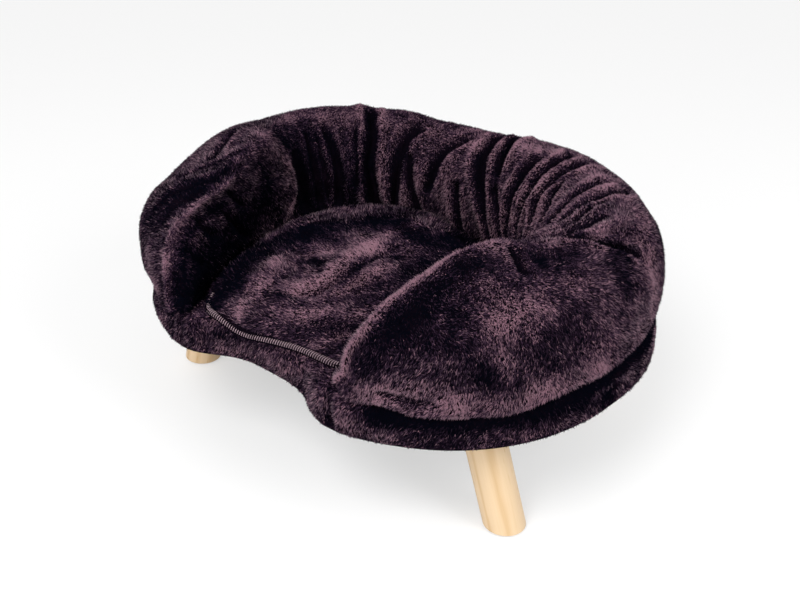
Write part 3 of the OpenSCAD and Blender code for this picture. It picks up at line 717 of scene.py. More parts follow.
def grain_group():
    """Wood grain along local Z: growth rings cut lengthways, fibres and a few darker streaks."""

    def build(nodes, given):
        at = given["Vector"]
        wander = nodes.noise(nodes.stretched(at, (1.0, 1.0, 0.12)), 34.0, 3.0)
        bent = nodes.add("ShaderNodeVectorMath", {0: at}, operation="ADD")
        shift = nodes.add("ShaderNodeCombineXYZ", {0: nodes.math("MULTIPLY", wander, 0.022)})
        nodes.set(bent.inputs[1], shift)
        apart = nodes.add("ShaderNodeSeparateXYZ", {0: bent.outputs[0]})
        rings = nodes.math("SINE", nodes.math("MULTIPLY", apart.outputs[0], given["Rings"]))
        late = nodes.math("POWER", nodes.spread(rings, -1.0, 1.0), 3.0)
        fibre = nodes.noise(nodes.stretched(at, (1.0, 1.0, 0.03)), 900.0, 3.0, 0.6)
        streak = nodes.spread(nodes.noise(nodes.stretched(at, (1.0, 1.0, 0.05)), 120.0, 2.0), 0.56, 0.74)
        marks = nodes.spread(nodes.noise(nodes.stretched(at, (1.0, 1.0, 0.09)), 520.0, 1.0), 0.66, 0.72)
        where = nodes.spread(nodes.noise(nodes.stretched(at, (1.0, 1.0, 0.35)), 60.0, 1.0), 0.5, 0.62)
        marks = nodes.math("MULTIPLY", marks, where)
        mask = 0.0
        for pattern, weight in ((late, 0.55), (marks, 0.8), (fibre, 0.3), (streak, 0.35)):
            mask = nodes.math("ADD", mask, nodes.math("MULTIPLY", pattern, weight))
        return {
            "Color": nodes.mix(nodes.spread(mask, 0.1, 1.0), given["Light"], given["Dark"]),
            "Roughness": nodes.spread(fibre, 0.3, 0.7, 0.42, 0.6),
            "Height": nodes.math("ADD", fibre, late),
        }

    return group_of(
        "Wood grain",
        [("Vector", "vector"), ("Rings", "value"), ("Light", "colour"), ("Dark", "colour")],
        [("Color", "colour"), ("Roughness", "value"), ("Height", "value")],
        build,
    )


def metal_group():
    """Zinc plating: fine scratches and a faint spangle."""

    def build(nodes, given):
        at = given["Vector"]
        scratch = nodes.noise(nodes.stretched(at, (1.0, 1.0, 12.0)), 420.0, 3.0, 0.6)
        spangle = nodes.noise(at, 260.0, 1.0)
        return {
            "Color": nodes.mix(nodes.spread(spangle, 0.35, 0.65), given["Dark"], given["Light"]),
            "Roughness": nodes.spread(scratch, 0.3, 0.7, 0.28, 0.5),
            "Height": scratch,
        }

    return group_of(
        "Zinc plating",
        [("Vector", "vector"), ("Dark", "colour"), ("Light", "colour")],
        [("Color", "colour"), ("Roughness", "value"), ("Height", "value")],
        build,
    )


def finish_of(
    name, group, values, bump=0.3, depth=0.0004, turn=None, move=(0, 0, 0), metallic=0.0, gloss=0.5
):
    """A material whose colour, roughness and relief come from one node group.

    values: what goes into the group; bump and depth: the relief's strength, and its depth in
    metres; turn and move: the pattern's, in radians and metres.
    """
    if name in bpy.data.materials:
        return bpy.data.materials[name]
    material = bpy.data.materials.new(name)
    material.use_nodes = True
    nodes = Nodes(material.node_tree)
    material.node_tree.nodes.clear()
    at = nodes.add("ShaderNodeTexCoord").outputs["Object"]
    if turn is not None:
        place = {"Vector": at, "Location": move, "Rotation": turn}
        at = nodes.add("ShaderNodeMapping", place).outputs[0]
    pattern = nodes.add("ShaderNodeGroup", node_tree=group())
    nodes.set(pattern.inputs["Vector"], at)
    for label, value in values.items():
        nodes.set(pattern.inputs[label], value)
    relief = nodes.add("ShaderNodeBump", {
        "Strength": bump,
        "Distance": depth,
        "Height": pattern.outputs["Height"],
    })
    shader = nodes.add("ShaderNodeBsdfPrincipled", {
        "Base Color": pattern.outputs["Color"],
        "Roughness": pattern.outputs["Roughness"],
        "Metallic": metallic,
        "Normal": relief.outputs[0],
        "Specular IOR Level": gloss,
    })
    out = nodes.add("ShaderNodeOutputMaterial")
    nodes.set(out.inputs["Surface"], shader)
    return material


def pile_finish(name, colour, rough, sheen, gloss):
    """One plain tone of the pile: what varies over the cloth is the mix of tufts in each tone."""
    if name in bpy.data.materials:
        return bpy.data.materials[name]
    material = bpy.data.materials.new(name)
    material.use_nodes = True
    shader = material.node_tree.nodes["Principled BSDF"]
    shader.inputs["Base Color"].default_value = (*colour, 1)
    shader.inputs["Roughness"].default_value = rough
    shader.inputs["Sheen Weight"].default_value = sheen
    shader.inputs["Sheen Tint"].default_value = (0.9, 0.72, 0.82, 1)
    shader.inputs["Specular IOR Level"].default_value = gloss
    return material


# ---------------------------------------------------------------- forms

# Columns of the bolster's grid, its points from the seat to the seam and from there to the outer
# foot, and that foot's row in the tables of sections
COLUMNS, SEAT_ROWS, OUTER_ROWS, FOOT_ROW = 605, 46, 50, 11.0
# Where the left arm's end lies over the back: rows, and angles to the left
ARM_FOLD = [
    (0.3, 97.0), (0.6, 95.0), (1.1, 89.0), (1.9, 85.5), (2.5, 85.5), (3.3, 87.5), (5.1, 93.0),
    (7.0, 95.0), (7.8, 98.0),
]
# There the arm bulges and the back is hollow: how far, and how far each reaches
ARM_BULGE, BULGE_REACH, BACK_HOLLOW, HOLLOW_REACH, FOLD_TURN = 8, 34, 17, 26, 1.3
# How the bolster's top rises and dips: height, angle and width in degrees
CREST_RISES = [
    (-8, -5, 22), (3, 20, 12), (5, 50, 24), (-2.5, -32, 18), (3, 6, 9), (-2, -25, 9),
    (2.5, -52, 3), (-2.5, -72, 9), (3, -95, 9),
]
# The dip behind the right arm: depth, angle and width, row and width in rows
ARM_DIP = 9, 91, 9, 5.4, 1.1
# Where the left arm's outer side stands out or is drawn in: how far, angle and width, and the
# row where that starts (or ends, with a negative width) and over how many rows
LEFT_SIDE = [(-6.0, -112, 12, -1, 1), (6.5, -135, 10, 10.4, -1.6), (-7.0, -148, 9, 9.4, 0.8)]
# How far the outer side stands out at the left, and is drawn in at the right and everywhere
LEFT_OUT, RIGHT_IN, OUTER_IN = 1.5, 8.0, 1.2
# The seam: how far it is pulled in, or pinched out as a ridge along the arms, and its reach
SEAM_IN, SEAM_RIDGE, SEAM_REACH = 2.2, 4.8, 3.5
# The seam along each arm, as (angle, row)
LEFT_SEAM = [
    (-151, 8.2), (-148, 7.5), (-144, 6.6), (-138, 5.2), (-128, 4.6), (-117, 4.8), (-104, 5.7), (-96, 6.0),
]
RIGHT_SEAM = [(96, 6.0), (104, 5.6), (115, 4.9), (138, 4.9), (144, 6.0), (151, 7.0)]
# How far the right arm's hem sags, and how far it may lie below the deck's top
HEM_SAG, HEM_BELOW = 5.5, 6
# How far the left arm's tip leans outwards
TIP_LEAN = np.array([7.0, -8.0, -3.0])
# Shares of a tip's cap from its ring to its point, the reach of the left and the right cap, and
# the height of a cap's middle as a share of its ring's
CAP_SHARES, LEFT_CAP, RIGHT_CAP, CAP_MIDDLE = (0.3, 0.55, 0.75, 0.9, 0.98, 1.0), 13, 9, 0.4
# Lumps of the bolster's stuffing: weight, size and seed
BOLSTER_LUMPS = [(1.7, 58, 11), (0.9, 23, 12), (0.5, 11, 13)]


def seam_row(deg):
    """The row on which the two covers are sewn together."""
    turn, row = zip(*LEFT_SEAM, *RIGHT_SEAM)
    return np.interp(deg, turn, row)


def pressed_in(deg, t, per_degree, per_row):
    """How far the folds press the covers in at angles and rows, and which places are beside one.

    per_degree and per_row: millimetres between neighbouring angles and rows.
    """
    valleys, lips, beside = np.zeros_like(t), np.zeros_like(t), np.zeros_like(t)
    for depth, first, last, line in FOLDS:
        share = np.linspace(0, 1, 40)
        turns, rows = (np.interp(share * (len(line) - 1), range(len(line)), v) for v in zip(*line))
        near = abs(deg - turns.mean()) < np.ptp(turns) / 2 + 12
        best = np.full((near.sum(), t.shape[1]), 1e9)
        place = np.zeros_like(best)
        for s, turn, row in zip(share, turns, rows):
            away = np.hypot((deg[near, None] - turn) * per_degree[near], (t[near] - row) * per_row[near])
            place = np.where(away < best, s, place)
            best = np.minimum(away, best)
        wide = best / (first + (last - first) * place)
        deep = depth * smooth(place / 0.12 + 0.25) * smooth((1 - place) / 0.12 + 0.25)
        valleys[near] = np.maximum(valleys[near], deep * hump(wide, 0, 1, 1.35))
        lips[near] = np.maximum(lips[near], 0.3 * deep * hump(wide, 2.2, 0.95))
        beside[near] = np.maximum(beside[near], np.minimum(deep / 8, 1) * hump(best, 0, 11))
    return valleys - lips * (1 - valleys / 15), beside


def arm_overlap(deg, t, per_degree):
    """How far the left arm's end bulges over the back, beyond a deep fold between the two."""
    row, turn = zip(*ARM_FOLD)
    past = (np.interp(t, row, turn) + deg[:, None]) * per_degree
    back = 0.5 * (1 + np.tanh(past / FOLD_TURN))
    arm = (1 - back) * ARM_BULGE * np.exp(np.minimum(past, 0) / BULGE_REACH)
    hollow = back * BACK_HOLLOW * np.exp(-np.maximum(past, 0) / HOLLOW_REACH)
    held = ramp(t, 0, 0.9) * (1 - ramp(t, 5.4, 2.6))
    return held * (arm - hollow)


def bolster_grid():
    """The bolster's outside with its folds, closed at both tips, and its pile's shade and trim."""
    deg = np.linspace(-TIP_ANGLE, TIP_ANGLE, COLUMNS)
    seam = seam_row(deg)[:, None]
    seat_rows = np.linspace(0, 1, SEAT_ROWS)[None] * seam
    outer_rows = seam + np.linspace(0, 1, OUTER_ROWS)[None, 1:] * (FOOT_ROW - seam)
    t = np.concatenate([seat_rows, outer_rows], 1)
    angle = deg[:, None]
    plain = bolster_surface(deg, t)
    per_degree = np.linalg.norm(np.gradient(plain, axis=0), axis=-1) / (deg[1] - deg[0])
    per_row = np.linalg.norm(np.gradient(plain, axis=1), axis=-1) / np.maximum(np.gradient(t, axis=1), 1e-3)
    out = frame_of(plain)[0]
    folds, beside = pressed_in(deg, t, per_degree, per_row)
    overlap = arm_overlap(deg, t, per_degree)
    on_arms = ramp(abs(angle), np.where(angle < 0, 115, 106), 8)
    from_seam = abs(t - seam) * per_row
    pinch = on_arms * np.exp(-from_seam / SEAM_REACH)
    move = overlap - folds
    move += SEAM_RIDGE * pinch - SEAM_IN * (1 - on_arms) * hump(from_seam, 0, SEAM_REACH)
    free = ramp(t, 0, 0.8) * ramp(t, FOOT_ROW, -1.2)
    move += free * lumps(plain, BOLSTER_LUMPS)
    left = LEFT_OUT * ramp(angle, -60, -30) * ramp(angle, -152, 14)
    for rise, turn, width, row, over in LEFT_SIDE:
        left = left + rise * hump(angle, turn, width) * ramp(t, row, over)
    right = RIGHT_IN * ramp(angle, 60, 18) * ramp(angle, 126, -22)
    move += ramp(t, 5.5, 1.5) * ramp(t, 10.9, -1.2) * (left - right - OUTER_IN)
    grid = plain + move[..., None] * out

    crest = ramp(t, 2.5, 2) * ramp(t, 9.5, -2)
    for rise, turn, width in CREST_RISES:
        grid[..., 2] += rise * hump(angle, turn, width) * crest
    dip, turn, width, row, over = ARM_DIP
    grid[..., 2] -= dip * hump(angle, turn, width) * hump(t, row, over)
    hem = ramp(t, 9.2, 0.9) * (1 - ramp(t, 10.6, 0.4))
    grid[..., 2] -= HEM_SAG * hem * ramp(angle, 108, 14) * ramp(angle, 146, -8)
    grid += (ramp(angle, -136, -15) * ramp(t, -0.5, 3))[..., None] * TIP_LEAN
    floor = DECK_TOP + REST_GAP - HEM_BELOW * ramp(t, 9.4, 0.6) * (1 - ramp(t, 10.7, 0.3))
    grid[..., 2] = np.maximum(grid[..., 2], floor)

    # Painted highlight on the ridge; painted shade in the folds, at the seat's foot, under the hem,
    # in the arm's fold and beside the left arm's ridge
    shade = -0.2 * folds + np.where(angle < 0, 0.7, 1.3) * pinch
    shade -= np.exp(-(grid[..., 2] - DECK_TOP) / 6) * (t < 3)
    shade -= 1.2 * ramp(t, 10.35, 0.35) + 0.07 * np.maximum(-overlap, 0)
    shade -= 0.7 * on_arms * (t < seam) * hump(from_seam, 12, 6) * (angle < 0)
    trim = 1 - 0.38 * beside - 0.2 * smooth(folds / 5)

    for end, next_in, reach in ((0, 1, LEFT_CAP), (-1, -2, RIGHT_CAP)):
        ring = grid[end]
        middle = ring.mean(0)
        middle[2] = DECK_TOP + CAP_MIDDLE * (ring[:, 2].max() - DECK_TOP)
        ahead = unit((ring - grid[next_in]).mean(0) * np.array([1, 1, 0]))
        caps = [middle + (ring - middle) * math.sqrt(1 - s * s) + reach * s * ahead for s in CAP_SHARES]
        tones, full = [shade[end]] * len(caps), np.ones((len(caps), shade.shape[1]))
        added = ((grid, caps[::-1 if end == 0 else 1]), (shade, tones), (trim, full))
        grid, shade, trim = (np.concatenate([new, old] if end == 0 else [old, new]) for old, new in added)
    return grid, shade, trim


# Shares of the way from the middle of the deck's top to its rim
TOP_SHARES = (0.0, 0.3, 0.55, 0.7, 0.8, 0.87, 0.93, 0.97)
# The rows of the deck's grid where the pile outside the seat starts and the seat's ends
PILE_FROM_ROW, SEAT_TO_ROW = 3, 9
# Mean length of a degree of the rim
RIM_DEGREE = 3.7
# How far the deck cover is drawn in all round, and stands out in a lobe at the right
RIM_IN, LOBE_OUT = 2.6, 3
# Lumps of the rim: weights, sizes and seeds, and how the finer ones are stretched upwards
RIM_LUMPS, RIM_FINE_LUMPS, RIM_STRETCH = [(1.3, 46, 21)], [(0.8, 19, 22)], np.array([1, 1, 0.4])
# Where the rim is drawn in at the left: how far, from which angle, over how many degrees
RIM_PULLED = [(2.0, -105, -15), (2.5, -126, -12)]


def rim_rows():
    """The deck cover's profile from the top to its margin under the board: inset and height."""
    top = [
        (RIM_R * (1 - math.sin(a)), DECK_TOP - RIM_R * (1 - math.cos(a)))
        for a in np.radians(np.arange(0, 91, 11.25))
    ]
    side = [(0, z) for z in np.linspace(DECK_TOP - RIM_R, COVER_Z + UNDER_R, 7)[1:-1]]
    under = [
        (UNDER_R * (1 - math.cos(a)), COVER_Z + UNDER_R * (1 - math.sin(a)))
        for a in np.radians(np.arange(0, 91, 15))
    ]
    margin = [(UNDER_R + MARGIN_W * s, COVER_Z) for s in (0.15, 0.35, 0.6, 0.8, 1.0)]
    return top + side + under + margin


def deck_grid():
    """The deck cover's outside, from the middle of its top to its margin, and its pile's shade and trim."""
    turn = np.linspace(0, 360, 480, endpoint=False)
    deg = turn + 20 * np.sin(np.radians(turn))  # closer together at the front
    ring = bean_in(deg, np.full(len(deg), RIM_R))
    rows = [np.column_stack([share * ring, np.full(len(deg), DECK_TOP)]) for share in TOP_SHARES]
    for inset, z in rim_rows():
        rows.append(np.column_stack([bean_in(deg, np.full(len(deg), float(inset))), np.full(len(deg), z)]))
    grid = np.stack(rows, 1)
    out = frame_of(grid, True)[0]
    z = grid[..., 2]
    above = z - COVER_Z
    free = ramp(above, 1, 8) * ramp(z, DECK_TOP + 1.0, -6)
    angle = np.where(deg > 180, deg - 360, deg)[:, None]
    creases = sum(
        depth * hump((angle - turn - lean * above) * RIM_DEGREE, 0, width, 1.3)
        for depth, width, turn, lean in RIM_CREASES
    )
    lobe = LOBE_OUT * ramp(angle, 154.5, -1.5) * ramp(angle, 130, 15)
    lumpy = lumps(grid, RIM_LUMPS) + lumps(grid * RIM_STRETCH, RIM_FINE_LUMPS)
    move = free * (lumpy - RIM_IN + lobe - creases)
    pulled = sum(inwards * ramp(angle, start, over) for inwards, start, over in RIM_PULLED)
    move -= free * pulled * ramp(angle, -158, 10) * ramp(above, 6, 10)
    move += 1.5 * free * ramp(angle, 84, 14) * ramp(angle, 140, -14)
    # Painted shade in the rim's creases, and on the top and upper rim where the bolster and the mat lie, but
    # not at the front
    shade = -0.12 * free * creases - 1.1 * ramp(z - DECK_TOP, -9, 5) * ramp(abs(angle), 148, -4)
    trim = 0.75 + 0.25 * ramp(above, 6, 14)
    return grid + move[..., None] * out, shade, trim


# Shares of the way from the middle of the mat's top to its edge
MAT_SHARES = np.concatenate([
    np.linspace(0, 0.8, 27), (0.83, 0.86, 0.89, 0.915, 0.94, 0.96, 0.975, 0.988, 1.0),
])
# From the edge to the middle of the underside: share of the way out, height as a share of the
# edge's thickness, and share of the rim's height
UNDER_SHARES = [
    (1.004, 0.6, 1), (1.004, 0.25, 0), (0.985, 0, 0), (0.9, 0, 0), (0.7, 0, 0), (0.4, 0, 0), (0.0, 0, 0),
]
# Height of the mat's rim but for its front, how far its top is lowered for the pile, and how far
# its edge rises against the bolster and over which width
MAT_RIM, PILE_ROOM, EDGE_RISE, EDGE_RISE_W = 2.6, 1.5, 9.0, 16
# What the mat's gap to the bolster adds at the sides, leaves out at the back and at the arms'
# ends, and how far its edge waves
GAP_SIDES, GAP_BACK, GAP_TIPS, GAP_WAVE = 4.5, 9.5, 3.0, 1.1
# The front edge: its place, its slope, and its wave's height and length
MAT_FRONT, FRONT_SLOPE, FRONT_WAVE, FRONT_WAVE_L = -177, 0.11, 1.6, 17
# Waves of the mat: weight, size and seed, and how they are turned and stretched across it
MAT_LUMPS, SLANT = [(2.4, 44, 31), (1.2, 19, 32)], np.array([[0.9, 0.25], [-0.45, 0.55]])
# Ridges and creases of the mat: height, width and line, seen from above
MAT_CREASES = [
    (-5.0, 4.5, [(-17, -124), (-6, -112), (-8, -91), (-10, -69), (-13, -44), (-14, -22), (-8, 1)]),
    (4.0, 11, [(-25, -113), (-24, -84), (-31, -47), (-34, -16), (-37, 18), (-35, 45)]),
    (3.0, 7, [(4, -105), (6, -80), (4, -55), (2, -30)]),
    (-4.0, 4, [(-78, -68), (-51, -72), (-40, -68)]),
    (-4.0, 4, [(-66, -86), (-42, -90), (-28, -84)]),
    (3.0, 9, [(-46, -165), (-62, -138), (-73, -110), (-83, -85)]),
    (-3.0, 5, [(-30, -150), (-44, -128), (-50, -108)]),
    (3.0, 7, [(40, -158), (49, -150), (53, -137)]),
    (-3.0, 6, [(12, -150), (34, -138), (50, -120)]),
]


def to_line(flat, line):
    """Distances from points to a line of points."""
    a, b = line[:-1], line[1:]
    way = b - a
    from_a = flat[:, None] - a
    share = np.clip((from_a * way).sum(-1) / np.maximum((way**2).sum(-1), 1e-9), 0, 1)
    return np.linalg.norm(from_a - share[..., None] * way, axis=-1).min(1)


def mat_rise(flat):
    """How far the mat's left and back edges are pushed up against the bolster."""
    edge = mat_outline(0)
    away = to_line(flat, np.concatenate([edge, edge[:1]]))
    turn = np.degrees(np.arctan2(flat[:, 0], flat[:, 1] + ARM_START))
    return EDGE_RISE * ramp(turn, 12, -30) * ramp(turn, -150, 22) * hump(away, 0, EDGE_RISE_W, 1.6)


def droop(flat):
    """How far the mat lies below its level: over the deck's front edge, or risen at the bolster."""
    x, y = flat[..., 0], flat[..., 1]
    share = np.minimum(abs(x) / DECK_HALF, 0.8)
    edge = scoop_of(x) - DECK_FRONT * (1 - share**FRONT_POWER) ** (1 / FRONT_POWER)
    past = np.clip(edge + RIM_R - y, 0, 1.86 * RIM_R)
    return 2 * RIM_R - np.sqrt(4 * RIM_R**2 - past**2) - mat_rise(flat)


def mat_outline(inset, front_inset=None):
    """The loose mat's edge, clockwise from its front left corner, moved inwards."""
    front_inset = inset if front_inset is None else front_inset
    deg = np.linspace(-MAT_END_ANGLE, MAT_END_ANGLE, 132)
    foot = seat_foot(deg)
    near = ramp(abs(deg), TIP_FROM, TIP_ANGLE - TIP_FROM)
    gap = MAT_GAP + GAP_SIDES - GAP_BACK * (1 - ramp(abs(deg), 48, 30))
    gap = gap + near * (MAT_TIP_GAP - MAT_GAP - GAP_TIPS) + GAP_WAVE * np.sin(np.radians(deg * 5.3 + 20))
    sides = foot - (gap + inset)[:, None] * unit(outer_foot(deg) - foot)
    share = np.linspace(1, -1, 38)[1:-1]
    x = share * sides[-1, 0]
    y = MAT_FRONT + front_inset + FRONT_SLOPE * x + FRONT_WAVE * np.sin(x / FRONT_WAVE_L)
    ring = np.concatenate([sides, np.column_stack([x, y])])
    for _ in range(9):  # rounds the corners
        ring = 0.5 * ring + 0.25 * (np.roll(ring, 1, 0) + np.roll(ring, -1, 0))
    return ring


def mat_grid():
    """The mat's plush, from the middle of its top over the edge to the middle of its underside."""
    edge = mat_outline(-1.3, 0)
    middle = np.array([0, -ARM_START])
    rim = MAT_RIM * ramp(edge[:, 1], -166, 12)
    rows = []
    for share in MAT_SHARES:
        flat = middle + share * (edge - middle)
        thick = MAT_EDGE_T + (MAT_T - MAT_EDGE_T) * ramp(share, 1, -0.14) + rim * ramp(share, 0.9, 0.06)
        crown = MAT_CROWN * (1 - share**3)
        for height, width, line in MAT_CREASES:
            crown = crown + height * hump(to_line(flat, np.array(line, float)), 0, width, 1.6)
        across = np.column_stack([flat @ SLANT, np.zeros(len(flat))])
        waves = smooth((1 - share) / 0.2 + 0.15) * lumps(across, MAT_LUMPS)
        rows.append(np.column_stack([flat, MAT_Z + thick + crown + waves - PILE_ROOM - droop(flat)]))
    for share, height, rim_share in UNDER_SHARES:
        flat = middle + share * (edge - middle)
        lift = MAT_EDGE_T * height + rim * rim_share
        rows.append(np.column_stack([flat, MAT_Z + lift - droop(flat)]))
    return np.stack(rows, 1)


def skin(name, grid, materials, closed=False):
    """A grid of points as a skin, with the points that fall together joined."""
    piece = mesh_from(name, grid, grid_faces(*grid.shape[:2], closed), materials)
    form = bmesh.new()
    form.from_mesh(piece.data)
    bmesh.ops.remove_doubles(form, verts=form.verts, dist=0.02 * MM)
    form.to_mesh(piece.data)
    form.free()
    return piece


def rope(points, radius, sides=6):
    """Points and faces of a tube, open at its ends, along a line of points."""
    points = np.asarray(points, float)
    way = unit(np.gradient(points, axis=0))
    side = unit(np.cross(way, np.array([0, 0, 1.0]) + 1e-4))
    top = np.cross(side, way)
    turn = np.linspace(0, 2 * math.pi, sides, endpoint=False)
    ring = np.cos(turn)[None, :, None] * side[:, None] + np.sin(turn)[None, :, None] * top[:, None]
    tube = points[:, None] + radius * ring
    i, j = np.meshgrid(np.arange(len(points) - 1), np.arange(sides), indexing="ij")
    k, e = i + 1, (j + 1) % sides
    faces = np.stack([i * sides + j, i * sides + e, k * sides + e, k * sides + j], -1).reshape(-1, 4)
    return tube.reshape(-1, 3), faces


def joined(parts):
    """Several (points, faces) as one."""
    points, faces, start = [], [], 0
    for p, f in parts:
        points.append(p)
        faces.append(np.asarray(f) + start)
        start += len(p)
    return np.concatenate(points), np.concatenate(faces)


# ---------------------------------------------------------------- settings


class CatBedSettings(bpy.types.PropertyGroup):
    """What a user would change: the pile, the colours, the lens and the floor"""

    pile_length: bpy.props.FloatProperty(
        name="Pile length", description="Length of the plush's tufts",
        default=0.0044, min=0.002, max=0.012, unit="LENGTH",
    )
    pile_width: bpy.props.FloatProperty(
        name="Tuft width", description="Half width of a tuft at its root",
        default=0.0006, min=0.0002, max=0.0015, unit="LENGTH",
    )
    pile_share: bpy.props.FloatProperty(
        name="Pile share", description="Share of the full number of tufts",
        default=1.0, min=0.05, max=1.0, subtype="FACTOR",
    )
    deep: bpy.props.FloatVectorProperty(
        name="Pile roots", description="Colour of the pile where it lies in shade",
        default=(0.0018, 0.0022, 0.0052), size=3, subtype="COLOR",
    )
    mid: bpy.props.FloatVectorProperty(
        name="Plush", description="Main colour of the plush",
        default=(0.043, 0.021, 0.042), size=3, subtype="COLOR",
    )
    # Also the colour of the lightest tufts, which paint highlight on ridges and the crest
    light: bpy.props.FloatVectorProperty(
        name="Brushed pile", description="Colour of the pile where it is brushed up",
        default=(0.29, 0.155, 0.2), size=3, subtype="COLOR",
    )
    thread: bpy.props.FloatVectorProperty(
        name="Overlock thread", description="Colour of the mat's overlocked edge",
        default=(0.52, 0.37, 0.42), size=3, subtype="COLOR",
    )
    pine: bpy.props.FloatVectorProperty(
        name="Pine", description="Colour of the legs between their growth rings",
        default=(0.65, 0.48, 0.3), size=3, subtype="COLOR",
    )
    pine_late: bpy.props.FloatVectorProperty(
        name="Pine growth rings", description="Colour of the legs' growth rings",
        default=(0.52, 0.335, 0.16), size=3, subtype="COLOR",
    )
    lens: bpy.props.FloatProperty(
        name="Lens", description="Focal length on a 36 mm wide sensor, in millimetres",
        default=50.24, min=10, max=200,
    )
    floor_size: bpy.props.FloatProperty(
        name="Floor", description="Width of the pale floor", default=12.0, min=2, max=40, unit="LENGTH"
    )


def chosen():
    """The settings as the user has them."""
    return bpy.context.scene.cat_bed


def shades(dark, light):
    """Two colours as inputs of a node group."""
    return {"Dark": (*dark, 1), "Light": (*light, 1)}


def pile_tones():
    """The pile's five tones from dark to light: its mottle, and its painted shade and highlight."""
    s = chosen()
    deep, mid, light = (np.array(c) for c in (s.deep, s.mid, s.light))
    return [
        pile_finish("pile_roots", tuple(deep), 0.95, 0.0, 0.0),
        pile_finish("pile_shaded", tuple(0.6 * deep + 0.4 * mid), 0.9, 0.0, 0.02),
        pile_finish("pile_main", tuple(mid), 0.8, 0.05, 0.05),
        pile_finish("pile_brushed_and_lit", tuple(0.6 * mid + 0.4 * light), 0.7, 0.1, 0.1),
        pile_finish("pile_lit_tips", tuple(light), 0.65, 0.15, 0.12),
    ]


def shaded_undercoat(name):
    """The cloth that shows between the tufts, dark as painted shade."""
    s = chosen()
    colours = shades(0.6 * np.array(s.deep), 0.14 * np.array(s.mid))
    return finish_of(name, nap_group, colours, bump=0.9, depth=0.002, gloss=0.0)


def lining(name, colours, threads=900.0):
    """A plain cloth with so many threads per metre."""
    values = {**shades(*colours), "Threads per metre": threads}
    return finish_of(name, weave_group, values, bump=0.5, depth=0.0003, gloss=0.15)


def add_pile(base, name, grid, closed, **values):
    """Tufts on a piece, parented to it: values are tufts' settings."""
    s = chosen()
    sizes = {"length": s.pile_length / MM, "width": s.pile_width / MM}
    count = int(values["count"] * s.pile_share)
    piece = tufts(name, grid, closed, pile_tones(), {**sizes, **values, "count": count})
    piece.parent = base


def foot_outline(last, count, from_seat, from_outside):
    """Outline of the bolster's foot up to an angle on both sides, moved in from both edges."""
    deg = np.linspace(-last, last, count)
    foot, far = seat_foot(deg), outer_foot(deg)
    way = unit(far - foot)
    return np.concatenate([foot + from_seat * way, (far - from_outside * way)[::-1]])


def coat(piece, material):
    """Gives a piece one material."""
    piece.data.materials.clear()
    piece.data.materials.append(material)


def thread_finish():
    """The overlock's yarn, with painted shade between its strands."""
    thread = np.array(chosen().thread)
    values = {**shades(0.45 * thread, thread), "Threads per metre": 1400.0}
    return finish_of("overlock_yarn", weave_group, values, bump=0.4, depth=0.0003, gloss=0.2)


def seen_directly(nodes):
    """1 for what the camera sees, also in metal and through glass."""
    path = nodes.add("ShaderNodeLightPath")
    rays = [path.outputs[f"Is {kind} Ray"] for kind in ("Camera", "Glossy", "Transmission")]
    return nodes.math("MINIMUM", nodes.math("ADD", nodes.math("ADD", rays[0], rays[1]), rays[2]), 1.0)


def floor_finish():
    """Pale floor that the camera sees as white, with the object's shadow kept."""
    material = bpy.data.materials.new("pale_floor")
    material.use_nodes = True
    nodes = Nodes(material.node_tree)
    material.node_tree.nodes.clear()
    plain = nodes.add("ShaderNodeBsdfPrincipled", {"Base Color": (0.92, 0.92, 0.92, 1), "Roughness": 0.8})
    white = nodes.add("ShaderNodeEmission", {"Color": (1, 1, 1, 1), "Strength": 1.0})
    at = nodes.add("ShaderNodeTexCoord").outputs["Object"]
    away = nodes.add("ShaderNodeVectorMath", {0: at}, operation="LENGTH").outputs["Value"]
    # Near the bed half of what is seen is lit floor, and 4 m away none
    share = nodes.math("MULTIPLY", seen_directly(nodes), nodes.spread(away, 0.8, 4.0, 0.5, 1.0))
    both = nodes.add("ShaderNodeMixShader", {0: share, 1: plain, 2: white})
    nodes.add("ShaderNodeOutputMaterial", {"Surface": both})
    return material


class OBJECT_OT_cat_bed_bolster(bpy.types.Operator):
    """Make the bolster's two plush covers with their folds and pile, and its base cloth"""

    bl_idname = "object.cat_bed_bolster"
    bl_label = "Bolster"

    def execute(self, context):
        grid, shade, trim = bolster_grid()
        seam = SEAT_ROWS - 1
        inner = skin("bolster_seat_cover", grid[:, : seam + 1], [shaded_undercoat("bolster_undercoat")])
        outer = skin("bolster_outer_cover", grid[:, seam:], [shaded_undercoat("bolster_undercoat")])
        panels = ((inner, ["bolster_inner_panel"]), (outer, ["bolster_outer_panel", "bolster_filling"]))
        for cover, nodes in panels:
            thicken(cover, BOLSTER_SKIN)
            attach(cover, "bed")
            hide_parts(*nodes)

        def seen(points):
            return points[:, 2] > DECK_TOP - 8

        third = grid.shape[0] // 3
        parts = (
            ("left", slice(0, third + 1), 101),
            ("back", slice(third, 2 * third + 1), 102),
            ("right", slice(2 * third, None), 103),
        )
        # The two covers' pile overlaps by a few rows, so that it hides the seam
        sides = ((inner, "seat", slice(0, seam + 3), 172), (outer, "outer", slice(seam - 2, None), 12))
        for side, part, seed in parts:
            for cover, name, rows, nap in sides:
                add_pile(
                    cover, f"bolster_{name}_pile_{side}", grid[part, rows], False,
                    count=BOLSTER_TUFTS, nap=nap, rise=43, seed=seed + nap, keep=seen,
                    shade=shade[part, rows], trim=trim[part, rows], brushed=NAP_AND_SHADE_STROKES["bolster"],
                )

        outline = foot_outline(144, 97, 8.5, 8.5)
        cloth = slab(
            "bolster_base_cloth", outline, DECK_TOP + REST_GAP + 1.6, BASE_CLOTH,
            [lining("bolster_lining", BASE_COLOURS)], spacing=8.0,
        )
        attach(cloth, "bed")
        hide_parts("bolster_base_panel")
        return {"FINISHED"}


